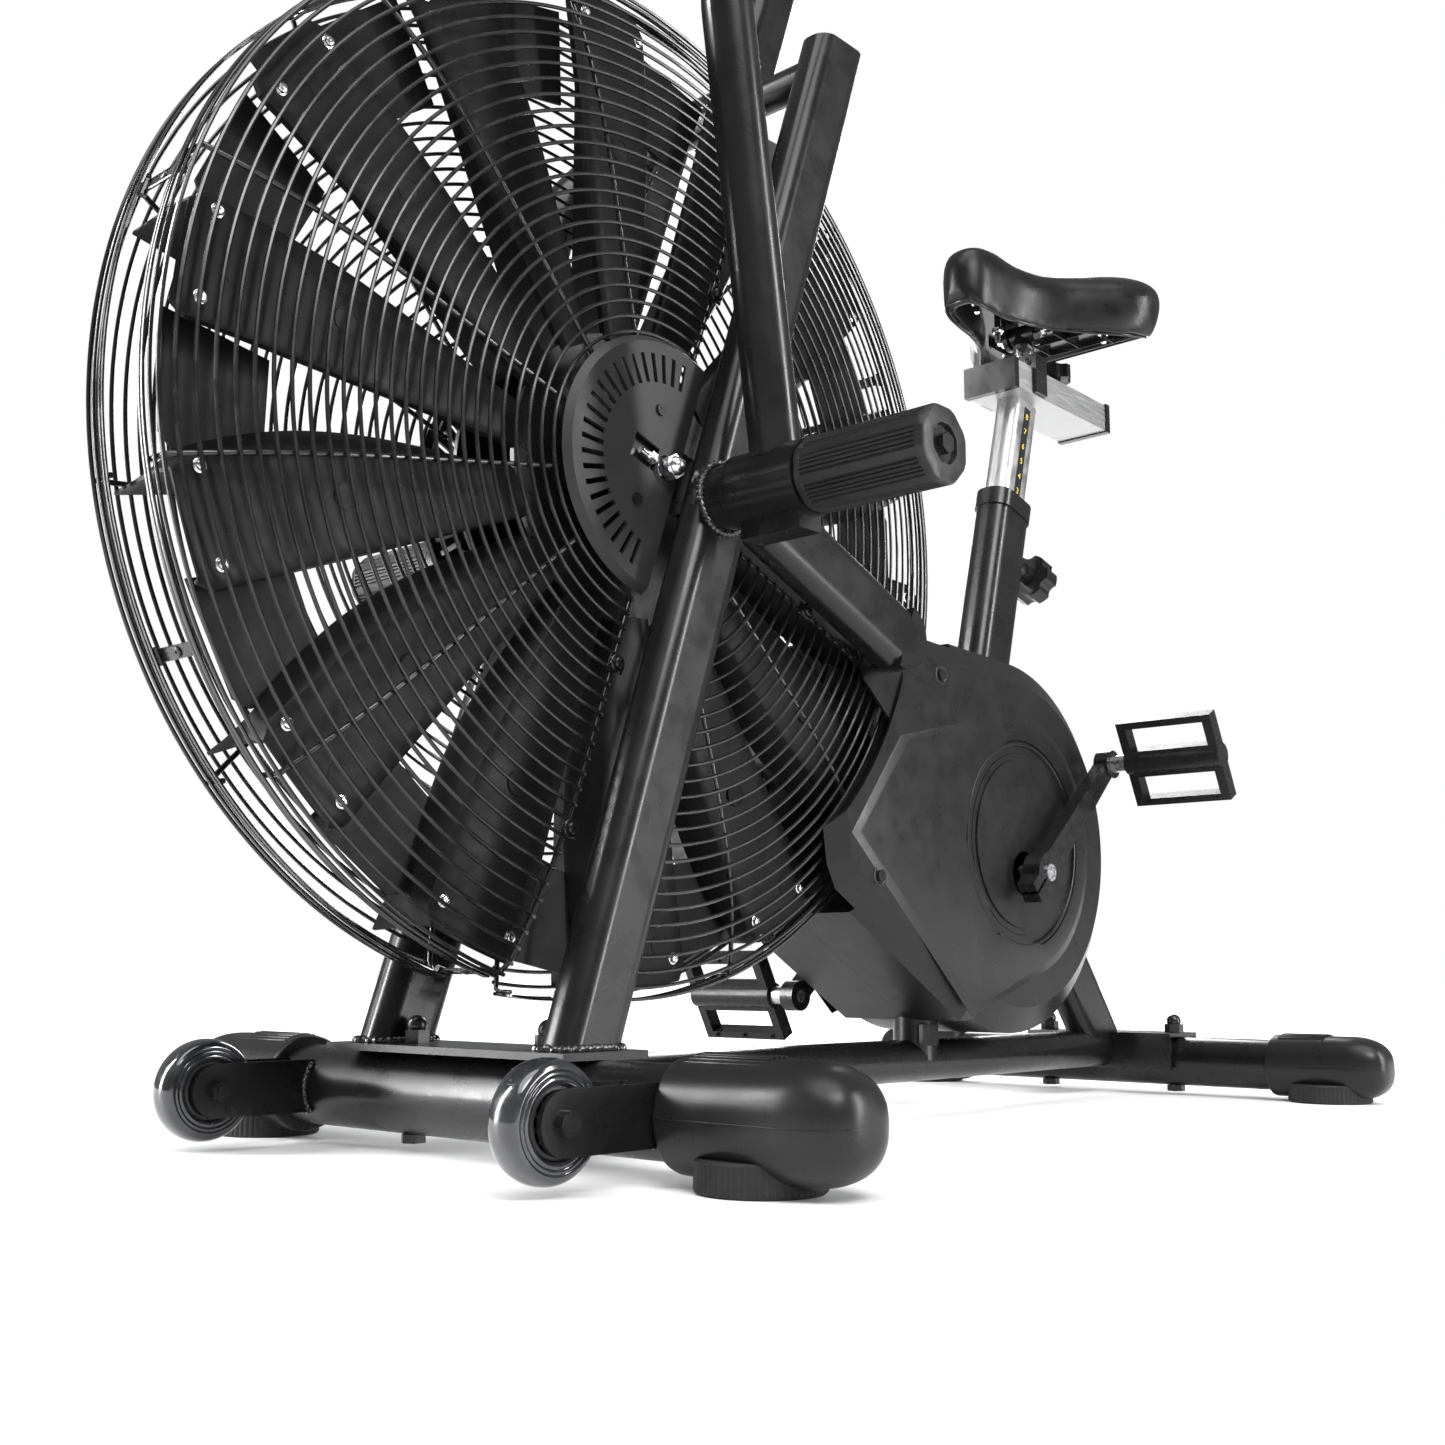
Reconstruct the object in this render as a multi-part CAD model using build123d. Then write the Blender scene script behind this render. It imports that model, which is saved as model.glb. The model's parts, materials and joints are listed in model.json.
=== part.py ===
"""Air bike: a fan-resisted exercise bike with swinging handlebar arms.

Millimetres, +Z up, +X towards the front, +Y the rider's left. The origin is on the floor, under
the middle of the bike's bounding box. Fore and aft places are given from the front stabiliser.
"""
from build123d import *
import math
import os

# ---- driving dimensions ----------------------------------------------------------------------
FRONT_X = 319.75                    # front stabiliser's centre line, ahead of the origin
LEAN = 18.5                         # backward lean of the uprights, degrees

STAB_R, STAB_Z, STAB_HALF = 29.5, 41.0, 300.0          # front stabiliser tube
REAR_X, REAR_R, REAR_Z, REAR_HALF = -890.0, 25.0, 34.0, 280.0
FRONT_CAP_R, REAR_CAP_R = 36.0, 30.5
FRONT_CAP_Y, REAR_CAP_Y = (199.0, 299.0), (185.0, 270.0)
FRONT_FOOT_Y, REAR_FOOT_Y, FOOT_R, FOOT_H = 254.0, 239.0, 40.0, 20.0
PLATE_Z = (70.5, 75.5)
FRONT_BOLT_Y, REAR_BOLT_Y = 70.0, 75.0
CHANNEL_HALF, CHANNEL_TOP, CHANNEL_WALL = 85.0, 63.2, 4.0

WHEEL_X, WHEEL_Z, WHEEL_Y, WHEEL_R, WHEEL_W = 102.0, 42.0, 180.0, 36.0, 24.0
BRACKET_T, BRACKET_H = 4.0, 38.0

TUBE_DEEP, TUBE_WIDE, TUBE_CORNER, TUBE_WALL = 55.0, 32.0, 14.0, 2.0   # flat-oval uprights
TUBE_Y = 97.0                       # centre plane of uprights and side beams
LEG_X, LEG_TOP_Z = -5.0, 905.0      # upright's centre line at height LEG_ROOT_Z
LEG_ROOT_Z = 82.0

AXLE_X, AXLE_Z, AXLE_R = -101.0, 495.6, 6.0
CAGE_R, CAGE_FACE_Y, CAGE_RIM_Y = 392.6, 68.0, 24.0
WIRE_R, SPOKE_R = 1.5, 2.0
HUB_COVER_R = 101.0
BLADES, BLADE_IN, BLADE_OUT = 14, 100.0, 374.0
FAN_PULLEY_R, CRANK_PULLEY_R, BELT_Y, BELT_W = 28.0, 110.0, 76.2, 5.0

CRANK_X, CRANK_Z, CRANK_LEN, CRANK_UP = -593.0, 218.0, 174.0, 41.0
SPINDLE_R, SPINDLE_HALF = 8.0, 106.0
ARM_Y = (86.0, 104.0)
PEDAL_Y, PEDAL_PITCH = (120.0, 218.0), 62.0

CAP_X, CAP_Z, CAP_R, COVER_R = -592.0, 246.0, 85.5, 176.0
LEFT_FACE, RIGHT_FACE, COVER_WALL = 75.0, 83.0, 2.8
CHEEK_Y = (69.2, 72.0)
LEFT_HUB, RIGHT_HUB = (71.9, 77.3), (91.3, 98.0)
COVER_FRONT_R, WELL_R, WELL_Y = 324.0, 401.0, 63.0
BEVEL_DEEP, BEVEL_TAPER = 15.0, 58.0

PEG_X, PEG_Z, PEG_SHAFT_R = -123.0, 470.0, 12.5
BOSS_Y, SLEEVE_Y, PEG_Y = (113.0, 137.0), (137.4, 199.6), (200.0, 309.0)
ARM_TUBE_R, ARM_TUBE_Y, GRIP_R = 19.0, 168.0, 23.0
ARM_SWING = 24.0                    # the right arm rests this much further back than the left

BASE_R, BASE_Z = 19.0, 46.0
POST_X, POST_R, POST_TOP = -520.0, 20.0, 185.0
STRUT_FOOT, STRUT_HEAD = (-866.0, 45.0), (-634.0, 333.0)

SEAT_X, SEAT_Z, SEAT_SLOPE = -667.0, 505.0, 0.27       # seat tube's centre line
SEAT_TUBE_Z = (240.0, 600.0)
COLLAR_TOP, SEAT_POST_TOP, SEAT_POST_FOOT = 618.0, 733.0, 385.0
RAIL_X, RAIL_Z, RAIL_WIDE = (-869.0, -682.0), (733.0, 763.0), 60.0
KNOB_Z, KNOB_R = 560.0, 25.0
SADDLE_PIVOT = (-745.0, 816.0)

MAST_TOP = 1066.0
CONSOLE_TILT = 35.0

LEAN_RAD = math.radians(LEAN)
UP = Vector(-math.sin(LEAN_RAD), 0, math.cos(LEAN_RAD))     # along the uprights
AHEAD = Vector(math.cos(LEAN_RAD), 0, math.sin(LEAN_RAD))   # square to them, forward
AXLE = Vector(FRONT_X + AXLE_X, 0, AXLE_Z)
CRANK = Vector(FRONT_X + CRANK_X, 0, CRANK_Z)
PEG = Vector(FRONT_X + PEG_X, 0, PEG_Z)


# ---- shape helpers ---------------------------------------------------------------------------
def at(x, y, z):
    """A point given from the front stabiliser's centre line."""
    return Vector(FRONT_X + x, y, z)


def side_plane(y):
    """A plane seen from the rider's right, local x forward and local y up, facing -Y."""
    return Plane(origin=(0, y, 0), x_dir=(1, 0, 0), z_dir=(0, -1, 0))


def slab(points, y0, y1):
    """A polygon of (x, z) points from the front stabiliser, extruded from y0 to y1."""
    corners = [(FRONT_X + x, z) for x, z in points]
    return extrude(side_plane(y1) * make_face(Polyline(*corners, close=True)), y1 - y0)


def disc(x, z, y0, y1, radius, bore=0.0):
    """A cylinder along Y at (x, z) from the front stabiliser, with an optional bore."""
    plane = Plane(origin=(FRONT_X + x, y1, z), x_dir=(1, 0, 0), z_dir=(0, -1, 0))
    solid = extrude(plane * Circle(radius), y1 - y0)
    return solid - extrude(plane * Circle(bore), y1 - y0) if bore else solid


def rod(start, end, radius, bore=0.0):
    """A cylinder between two points, with an optional bore."""
    start, end = Vector(*start), Vector(*end)
    plane = Plane(origin=start, z_dir=end - start)
    length = (end - start).length
    solid = extrude(plane * Circle(radius), length)
    return solid - extrude(plane * Circle(bore), length) if bore else solid


def hexagon(start, end, across):
    """A hexagonal prism between two points, `across` the flats."""
    start, end = Vector(*start), Vector(*end)
    shape = RegularPolygon(across / 2, 6, major_radius=False)
    return extrude(Plane(origin=start, z_dir=end - start) * shape, (end - start).length)


def oval_bar(start, end, deep, wide, corner):
    """A solid flat-oval bar in an XZ plane, `deep` across its length and `wide` along Y."""
    start, end = Vector(*start), Vector(*end)
    along = (end - start).normalized()
    plane = Plane(origin=start, x_dir=Vector(0, 1, 0).cross(along), z_dir=along)
    return extrude(plane * RectangleRounded(deep, wide, corner), (end - start).length)


def oval_tube(start, end, deep=TUBE_DEEP, wide=TUBE_WIDE, corner=TUBE_CORNER, wall=TUBE_WALL):
    """A flat-oval tube, open at both ends."""
    inner = oval_bar(start, end, deep - 2 * wall, wide - 2 * wall, corner - wall)
    return oval_bar(start, end, deep, wide, corner) - inner


def other_side(shape):
    """The same shape on the rider's right."""
    return mirror(shape, about=Plane.XZ)


def both_sides(shape):
    """A group of a shape and its mirror image."""
    return solids_of(shape) + solids_of(other_side(shape))


def solids_of(*shapes):
    """Every solid of the shapes, as one list."""
    return [solid for shape in shapes for solid in shape.solids()]


def block(x0, x1, y0, y1, z0, z1):
    """A box between limits, x from the front stabiliser."""
    middle = at((x0 + x1) / 2, (y0 + y1) / 2, (z0 + z1) / 2)
    return Pos(*middle) * Box(x1 - x0, y1 - y0, z1 - z0)


# ---- stabilisers, feet and transport wheels --------------------------------------------------
def stabiliser(x, z, radius, half, wall, bolt_y):
    """A round cross tube with two upright bolt holes."""
    tube = rod(at(x, -half, z), at(x, half, z), radius, radius - wall)
    for y in (-bolt_y, bolt_y):
        tube -= rod(at(x, y, z - radius - 5), at(x, y, z + radius + 5), 5.2)
    return tube


def end_cap(x, z, radius, tube_r, reach, tube_end):
    """A rubber boot over the tube's end: a sleeve with a domed end."""
    outer = rod(at(x, reach[0], z), at(x, reach[1], z), radius)
    outer += Pos(*at(x, reach[1], z)) * Sphere(radius)
    return outer - rod(at(x, reach[0] - 1, z), at(x, tube_end, z), tube_r + 0.05)


def foot(x, y, cap_z, cap_r, height):
    """A round levelling foot, hollowed to fit under its boot."""
    body = rod(at(x, y, 0), at(x, y, height), FOOT_R)
    body = chamfer(body.edges().group_by(Axis.Z)[0], 1.5)
    return body - rod(at(x, y - 60, cap_z), at(x, y + 60, cap_z), cap_r + 0.05)


def wheel_bracket(y):
    """A plate from the front tube to the wheel's axle, with a round nose."""
    half = BRACKET_H / 2
    y0, y1 = y - BRACKET_T / 2, y + BRACKET_T / 2
    plate = block(0, WHEEL_X, y0, y1, WHEEL_Z - half, WHEEL_Z + half)
    plate += disc(WHEEL_X, WHEEL_Z, y0, y1, half)
    plate -= rod(at(0, -STAB_HALF, STAB_Z), at(0, STAB_HALF, STAB_Z), STAB_R + 0.02)
    return plate - disc(WHEEL_X, WHEEL_Z, y0 - 1, y1 + 1, 4.1)


def front_brackets():
    """The plate across the front tube and the four transport-wheel plates."""
    half_x, half_y = 38.0, 125.0
    plate = block(-half_x, half_x, -half_y, half_y, *PLATE_Z)
    for y in (-FRONT_BOLT_Y, FRONT_BOLT_Y):
        plate -= rod(at(0, y, PLATE_Z[0] - 1), at(0, y, PLATE_Z[1] + 1), 5.2)
    offset = WHEEL_W / 2 + 2.0 + BRACKET_T / 2
    plates = [both_sides(wheel_bracket(WHEEL_Y + side * offset)) for side in (-1, 1)]
    return solids_of(plate) + plates[0] + plates[1]


def upright_bolt(x, y, low, high):
    """A hex-headed bolt through a cross tube, with a domed nut on top."""
    shank = rod(at(x, y, low), at(x, y, high + 12), 5.0)
    head = hexagon(at(x, y, low - 6), at(x, y, low), 16)
    nut = hexagon(at(x, y, high), at(x, y, high + 9), 17)
    dome = Pos(*at(x, y, high + 12)) * Sphere(7.4)
    dome &= block(x - 9, x + 9, y - 9, y + 9, high + 8.5, high + 22)
    return shank + head + nut + dome


def wheel_bolt(y):
    """A button-headed axle bolt for a transport wheel, with its nut."""
    reach = WHEEL_W / 2 + 2.0 + BRACKET_T
    bolt = disc(WHEEL_X, WHEEL_Z, y - reach - 9, y + reach, 4.0)
    bolt += disc(WHEEL_X, WHEEL_Z, y + reach, y + reach + 4.5, 7.5)
    start, end = at(WHEEL_X, y - reach - 7, WHEEL_Z), at(WHEEL_X, y - reach, WHEEL_Z)
    return bolt + hexagon(start, end, 13)


def peg_bolt():
    """The bolt and washer in a foot peg's end."""
    end = PEG_Y[1]
    washer = disc(PEG_X, PEG_Z, end - 4.5, end - 2.5, 11.5)
    start, tip = at(PEG_X, end - 2.5, PEG_Z), at(PEG_X, end + 2.5, PEG_Z)
    return washer + hexagon(start, tip, 13)


def frame_bolts():
    """All the black bolts of the frame."""
    front = upright_bolt(0, FRONT_BOLT_Y, STAB_Z - STAB_R, PLATE_Z[1])
    rear = upright_bolt(REAR_X, REAR_BOLT_Y, REAR_Z - REAR_R, CHANNEL_TOP)
    bolts = [both_sides(shape) for shape in (front, rear, wheel_bolt(WHEEL_Y), peg_bolt())]
    return [solid for group in bolts for solid in group]


def wheel_tyre(y):
    """A rounded urethane tyre, like an in-line skate's."""
    tyre = disc(WHEEL_X, WHEEL_Z, y - WHEEL_W / 2, y + WHEEL_W / 2, WHEEL_R, 21.0)
    rims = [edge for edge in tyre.edges() if edge.geom_type == GeomType.CIRCLE and edge.radius > 30]
    return fillet(rims, 9.0)


def wheel_hub(y):
    """The spoked hub inside a tyre, bored for its bolt."""
    hub = disc(WHEEL_X, WHEEL_Z, y - 10, y + 10, 21.0, 16.5)
    hub += disc(WHEEL_X, WHEEL_Z, y - 13, y + 13, 11.0)
    spoke = block(WHEEL_X + 9, WHEEL_X + 18, y - 7, y + 7, WHEEL_Z - 1.6, WHEEL_Z + 1.6)
    axis = Axis(at(WHEEL_X, y, WHEEL_Z), (0, 1, 0))
    for turn in range(8):
        hub += spoke.rotate(axis, turn * 45)
    return hub - disc(WHEEL_X, WHEEL_Z, y - 14, y + 14, 4.06)


# ---- frame tubes -----------------------------------------------------------------------------
def leg_centre(z):
    """The upright's centre line at height z."""
    return at(LEG_X - math.tan(LEAN_RAD) * (z - LEG_ROOT_Z), TUBE_Y, z)


def leg_bar():
    """An upright as a solid bar, run past both its ends."""
    return oval_bar(leg_centre(40), leg_centre(LEG_TOP_Z + 30), TUBE_DEEP, TUBE_WIDE, TUBE_CORNER)


def leg():
    """A leaning upright, cut level at the front plate and at its top."""
    tube = oval_tube(leg_centre(40), leg_centre(LEG_TOP_Z + 30))
    tube -= block(-80, 80, 60, 130, 0, PLATE_Z[1])
    top = leg_centre(LEG_TOP_Z).X - FRONT_X
    return tube - block(top - 90, top + 90, 60, 130, LEG_TOP_Z, LEG_TOP_Z + 60)


def side_beam():
    """The short beam from an upright back to its cheek plate, round at its rear end."""
    head, tail = at(-120, TUBE_Y, 503), at(-356, TUBE_Y, 404)
    outer = oval_bar(head, tail, 57, TUBE_WIDE, TUBE_CORNER)
    cavity = oval_bar(head, tail, 53, TUBE_WIDE - 4, TUBE_CORNER - 2)
    nose = disc(tail.X - FRONT_X, tail.Z, 81, 113, 28.5)
    beam = outer - cavity
    beam += nose & slab([(-371.5, 440.9), (-340.5, 367.1), (-396, 344), (-427, 418)], 81, 113)
    return (beam - leg_bar()).solids().sort_by(SortBy.VOLUME)[-1]


def cheek_plate():
    """The steel side plate that joins a side beam to the crank and seat tubes."""
    top = [(-338, 424), (-405, 402), (-470, 394), (-600, 386), (-676, 335)]
    plate = slab(top + [(-640, 180), (-545, 175), (-400, 330), (-350, 372)], *CHEEK_Y)
    plate -= disc(CRANK_X, CRANK_Z, 60, 80, 20.0)
    return plate + block(-378, -348, CHEEK_Y[1], TUBE_Y - TUBE_WIDE / 2, 384, 410)


def console_mast():
    """The cross tube between the uprights' heads, and the mast that stands on it."""
    middle = leg_centre(LEG_TOP_Z - 22)
    low = Vector(middle.X, -81, middle.Z)
    high = Vector(middle.X, 81, middle.Z)
    cross = rod(low, high, 15.0, 13.0)
    foot_point = Vector(middle.X, 0, middle.Z)
    head = foot_point + UP * ((MAST_TOP - middle.Z) / UP.Z)
    mast = oval_tube(foot_point, head, 44, 26, 11)
    mast -= rod(low, high, 15.0)
    ears = rod(head + Vector(0, -22, 0), head + Vector(0, 22, 0), 9.0, 4.06)
    lug = mast.solids().sort_by(SortBy.VOLUME)[-1] - rod(head - Vector(0, 30, 0),
                                                         head + Vector(0, 30, 0), 9.0)
    return solids_of(cross, lug) + solids_of(ears)


def base_tube():
    """The long tube along the floor between the two stabilisers."""
    tube = rod(at(0, 0, BASE_Z), at(REAR_X + 31, 0, BASE_Z), BASE_R, BASE_R - 2)
    tube -= rod(at(0, -60, STAB_Z), at(0, 60, STAB_Z), STAB_R + 0.02)
    return tube.solids().sort_by(SortBy.VOLUME)[-1]


def support_post():
    """The short post under the cover, and the brace from it to the crank tube."""
    post = rod(at(POST_X, 0, BASE_Z), at(POST_X, 0, POST_TOP), POST_R, POST_R - 2)
    post -= rod(at(POST_X - 60, 0, BASE_Z), at(POST_X + 60, 0, BASE_Z), BASE_R + 0.02)
    brace = rod(at(POST_X, 0, 168), CRANK, 13.0, 11.0)
    brace -= rod(at(POST_X, 0, BASE_Z), at(POST_X, 0, POST_TOP + 40), POST_R + 0.02)
    brace -= disc(CRANK_X, CRANK_Z, -70, 70, 22.02)
    ear = block(POST_X - 3, POST_X + 22, 20.0, 24.0, 60, 79)
    ear -= rod(at(POST_X, 0, 60), at(POST_X, 0, POST_TOP), POST_R + 0.02)
    return [part.solids().sort_by(SortBy.VOLUME)[-1] for part in (post, brace, ear)]


def rear_bracket():
    """The channel that clamps the rear stabiliser, welded to the base tube."""
    front, back = REAR_X + 31, REAR_X - 31
    foot_z = REAR_Z - 8
    shell = block(back, front, -CHANNEL_HALF, CHANNEL_HALF, foot_z, CHANNEL_TOP)
    shell -= block(back + CHANNEL_WALL, front - CHANNEL_WALL, -200, 200, 0, REAR_Z + REAR_R + 0.05)
    for y in (-REAR_BOLT_Y, REAR_BOLT_Y):
        shell -= rod(at(REAR_X, y, 40), at(REAR_X, y, 80), 5.2)
    return shell


def seat_centre(z):
    """The seat tube's centre line at height z."""
    return at(SEAT_X - SEAT_SLOPE * (z - SEAT_Z), 0, z)


SEAT_UP = (seat_centre(600) - seat_centre(500)).normalized()
SEAT_BACK = Vector(-SEAT_UP.Z, 0, SEAT_UP.X)


def seat_tube():
    """The leaning seat tube, its collar and the boss for the height knob."""
    tube = oval_tube(seat_centre(SEAT_TUBE_Z[0] - 30), seat_centre(SEAT_TUBE_Z[1]), 62, 38, 16)
    tube -= disc(CRANK_X, CRANK_Z, -70, 70, 22.02)
    collar = oval_bar(seat_centre(SEAT_TUBE_Z[1]), seat_centre(COLLAR_TOP), 66, 42, 18)
    collar -= oval_bar(seat_centre(590), seat_centre(630), 58, 34, 14)
    middle = seat_centre(KNOB_Z)
    tube += rod(middle + SEAT_BACK * 30.5, middle + SEAT_BACK * 46, 9.0)
    tube -= rod(middle + SEAT_BACK * 26, middle + SEAT_BACK * 47, 5.06)
    return [part.solids().sort_by(SortBy.VOLUME)[-1] for part in (tube, collar)]


def seat_tube_bush():
    """The nylon liner that guides the seat post."""
    low, high = seat_centre(KNOB_Z + 14), seat_centre(COLLAR_TOP)
    return oval_bar(low, high, 58, 34, 14) - oval_bar(low, high, 50.6, 28.6, 12.3)


def rear_strut():
    """The strut from the rear bracket up to the seat tube."""
    foot_point, head = at(STRUT_FOOT[0], 0, STRUT_FOOT[1]), at(STRUT_HEAD[0], 0, STRUT_HEAD[1])
    strut = oval_tube(foot_point, head, 60, 32, 14)
    strut -= oval_bar(seat_centre(200), seat_centre(500), 62.04, 38.04, 16)
    strut -= rod(at(-300, 0, BASE_Z), at(REAR_X + 30, 0, BASE_Z), BASE_R + 0.02)
    strut -= block(REAR_X - 60, REAR_X + 31, -60, 60, 0, CHANNEL_TOP)
    strut -= block(REAR_X, REAR_X + 90, -60, 60, 0, BASE_Z)
    return strut.solids().sort_by(SortBy.VOLUME)[-1]


# ---- fan and its cage ------------------------------------------------------------------------
def cage_y(radius):
    """How far out from the centre plane the domed cage lies at a radius."""
    return CAGE_FACE_Y - 27.0 * max(0.0, (radius - 200.0) / 192.0) ** 3


def polar(radius, angle, y):
    """A point about the fan axle, its angle counted from forward towards up."""
    turn = math.radians(angle)
    return AXLE + Vector(radius * math.cos(turn), y, radius * math.sin(turn))


def cage_ring(radius, y, start, end):
    """An arc of ring wire about the fan axle."""
    arc = Torus(radius, WIRE_R, major_angle=end - start, align=None)
    return Pos(AXLE.X, y, AXLE.Z) * Rot(90, 0, 0) * Rot(0, 0, start) * arc


def cage_spoke(angle, start=HUB_COVER_R + 2):
    """A radial wire under the rings, bent down to the rim."""
    radii = (start, 262, 322, 363, CAGE_R - 3.2)
    drop = WIRE_R + 0.1
    points = [polar(radius, angle, cage_y(radius) - drop) for radius in radii]
    points.append(polar(CAGE_R - 3.2, angle, CAGE_RIM_Y))
    path = Polyline(*points)
    return sweep(Plane(origin=path @ 0, z_dir=path % 0) * Circle(SPOKE_R), path=path,
                 transition=Transition.RIGHT)


def cage_section(start, end, spokes):
    """A welded section of cage between two angles: its rings and spokes as one piece."""
    radii = (HUB_COVER_R + 5, 150, 200, 250, 300, 345, 381)
    arcs = [cage_ring(radius, cage_y(radius), start, end) for radius in radii]
    arcs += [cage_ring(CAGE_R - 2 * WIRE_R + 0.4, y, start, end) for y in (33.0, CAGE_RIM_Y)]
    wires = [cage_spoke(angle) for angle in spokes]
    welded = wires[0]
    for piece in arcs + wires[1:]:
        welded += piece
    return welded


def cage_side():
    """One side's cage: a front section, and a rear one above and one below the side beam."""
    front = cage_section(LEAN - 86, LEAN + 86, [LEAN - 84 + 42 * i for i in range(5)])
    lower = cage_section(207, 270, [208.5, 239, 268.5])
    upper = cage_section(130, 186, [131.5, 158, 184.5])
    return [front, lower, upper]


def hub_cover(y0, y1):
    """A D-shaped slotted cover, its straight edge along the upright."""
    cover = disc(AXLE_X, AXLE_Z, y0, y1, HUB_COVER_R)
    cover = chamfer(cover.edges().group_by(Axis.Y)[-1], 5.0)
    middle = AXLE + Vector(0, (y0 + y1) / 2, 0)
    tilt = Plane(origin=middle, x_dir=AHEAD, z_dir=(0, -1, 0))
    behind = tilt * Pos(-72, 0, 0) * Box(120, 240, 40)
    cover -= behind
    hollow = disc(AXLE_X, AXLE_Z, y0 - 1, y1 - 2.5, HUB_COVER_R - 6) - tilt * Pos(-69, 0, 0) * Box(
        120, 240, 60)
    cover -= hollow
    for step in range(23):
        angle = step * 7.6 - 83.6
        slot = tilt * Rot(0, 0, angle) * Pos(76, 0, 0) * Box(22, 4, 60)
        cover -= slot
    cover -= tilt * Pos(24.25, 0, 0) * Box(25.5, 20, 60)
    return cover - disc(AXLE_X, AXLE_Z, y0 - 1, y1 + 1, 10.0)


def axle_bracket(y0, y1):
    """The plate that carries one end of the fan axle from its upright."""
    tilt = Plane(origin=AXLE + Vector(0, (y0 + y1) / 2, 0), x_dir=AHEAD, z_dir=(0, -1, 0))
    plate = tilt * Pos(-6, 0, 0) * Box(88, 52, y1 - y0)
    plate -= disc(AXLE_X, AXLE_Z, y0 - 1, y1 + 1, AXLE_R + 0.03)
    return plate


def axle_brackets():
    """Both axle plates, each with the block that welds it to its upright."""
    left, right = axle_bracket(69.8, 71.6), axle_bracket(-91.0, -86.0)
    tilt = Plane(origin=AXLE + Vector(0, 76.3, 0), x_dir=AHEAD, z_dir=(0, -1, 0))
    left += tilt * Pos(-38, 0, 0) * Box(24, 46, 9.4)
    right -= other_side(leg_bar())
    return [left, right.solids().sort_by(SortBy.VOLUME)[-1]]


def fan_axle():
    """The fixed fan axle, with a nut at each end and the belt-tension bolt."""
    axle = disc(AXLE_X, AXLE_Z, -101, 90, AXLE_R)
    left = hexagon(AXLE + Vector(0, 77.4, 0), AXLE + Vector(0, 87, 0), 17)
    inner = hexagon(AXLE + Vector(0, 71.65, 0), AXLE + Vector(0, 74.2, 0), 17)
    right = hexagon(AXLE + Vector(0, -100, 0), AXLE + Vector(0, -91.05, 0), 17)
    axle += left + right + inner
    axle += Pos(*(AXLE + Vector(0, 86.5, 0))) * Sphere(7.2)
    start = AXLE + AHEAD * 12 + Vector(0, 76.2, 0)
    tension = rod(start, start + AHEAD * 16, 3.0)
    tension += hexagon(start + AHEAD * 2, start + AHEAD * 8, 9)
    return solids_of(axle) + solids_of(tension)


def fan_hub():
    """The fan's drum and two flanges, bored for its bearings."""
    hub = disc(AXLE_X, AXLE_Z, -46, 46, 38.0)
    for y in (-34.0, 30.0):
        hub += disc(AXLE_X, AXLE_Z, y, y + 4, BLADE_IN + 12)
    hub += disc(AXLE_X, AXLE_Z, -72.0, -46, 20.0)
    hub += disc(AXLE_X, AXLE_Z, -80.0, -72, 16.0)
    hub -= disc(AXLE_X, AXLE_Z, -81, 60, 8.0)
    for y in (-46.0, 34.0):
        hub -= disc(AXLE_X, AXLE_Z, y, y + 12, 16.0)
    return hub


def fan_bearings():
    """The two ball races that carry the fan on its axle."""
    return [disc(AXLE_X, AXLE_Z, y, y + 12, 16.0, AXLE_R + 0.04) for y in (-46.0, 34.0)]


def blade_section(radius, scale):
    """A blade's bent section: a broad face, a curled lip and a back paddle."""
    face = [(-46, 36), (36, 29), (50, 13), (30, -34)]
    back = [(27.5, -33.2), (47.2, 12.2), (34.6, 26.6), (-46.2, 33.4)]
    corners = [(x * scale, y) for x, y in face + back]
    plane = Plane(origin=AXLE + Vector(radius, 0, 0), x_dir=(0, 0, 1), z_dir=(1, 0, 0))
    return plane * make_face(Polyline(*[(x, -y) for x, y in corners], close=True))


def fan_blades():
    """The bent sheet blades around the hub."""
    blade = loft([blade_section(BLADE_IN + 13, 0.36), blade_section(BLADE_OUT, 0.98)], ruled=True)
    tip = disc(AXLE_X, AXLE_Z, -60, 60, 378.0)
    blade = (blade & tip).solids().sort_by(SortBy.VOLUME)[-1]
    axis = Axis(AXLE, (0, 1, 0))
    return [blade.rotate(axis, 16 + index * 360 / BLADES) for index in range(BLADES)]


def pulley(centre_x, centre_z, radius, bore):
    """A flat belt pulley with two low flanges, on the rider's right."""
    half = BELT_W / 2
    wheel = disc(centre_x, centre_z, -BELT_Y - half - 1.2, -BELT_Y + half + 1.2, radius + 2.5)
    groove = disc(centre_x, centre_z, -BELT_Y - half - 0.4, -BELT_Y + half + 0.4, radius + 5)
    core = disc(centre_x, centre_z, -BELT_Y - half - 0.4, -BELT_Y + half + 0.4, radius)
    wheel -= groove - core
    return wheel - disc(centre_x, centre_z, -BELT_Y - 9, -BELT_Y + 9, bore)


def crank_pulley():
    """The large pulley, lightened by round windows."""
    wheel = pulley(CRANK_X, CRANK_Z, CRANK_PULLEY_R, SPINDLE_R)
    window = disc(CRANK_X + 66, CRANK_Z, -BELT_Y - 9, -BELT_Y + 9, 24)
    axis = Axis(CRANK, (0, 1, 0))
    for turn in range(6):
        wheel -= window.rotate(axis, turn * 60)
    return wheel


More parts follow.
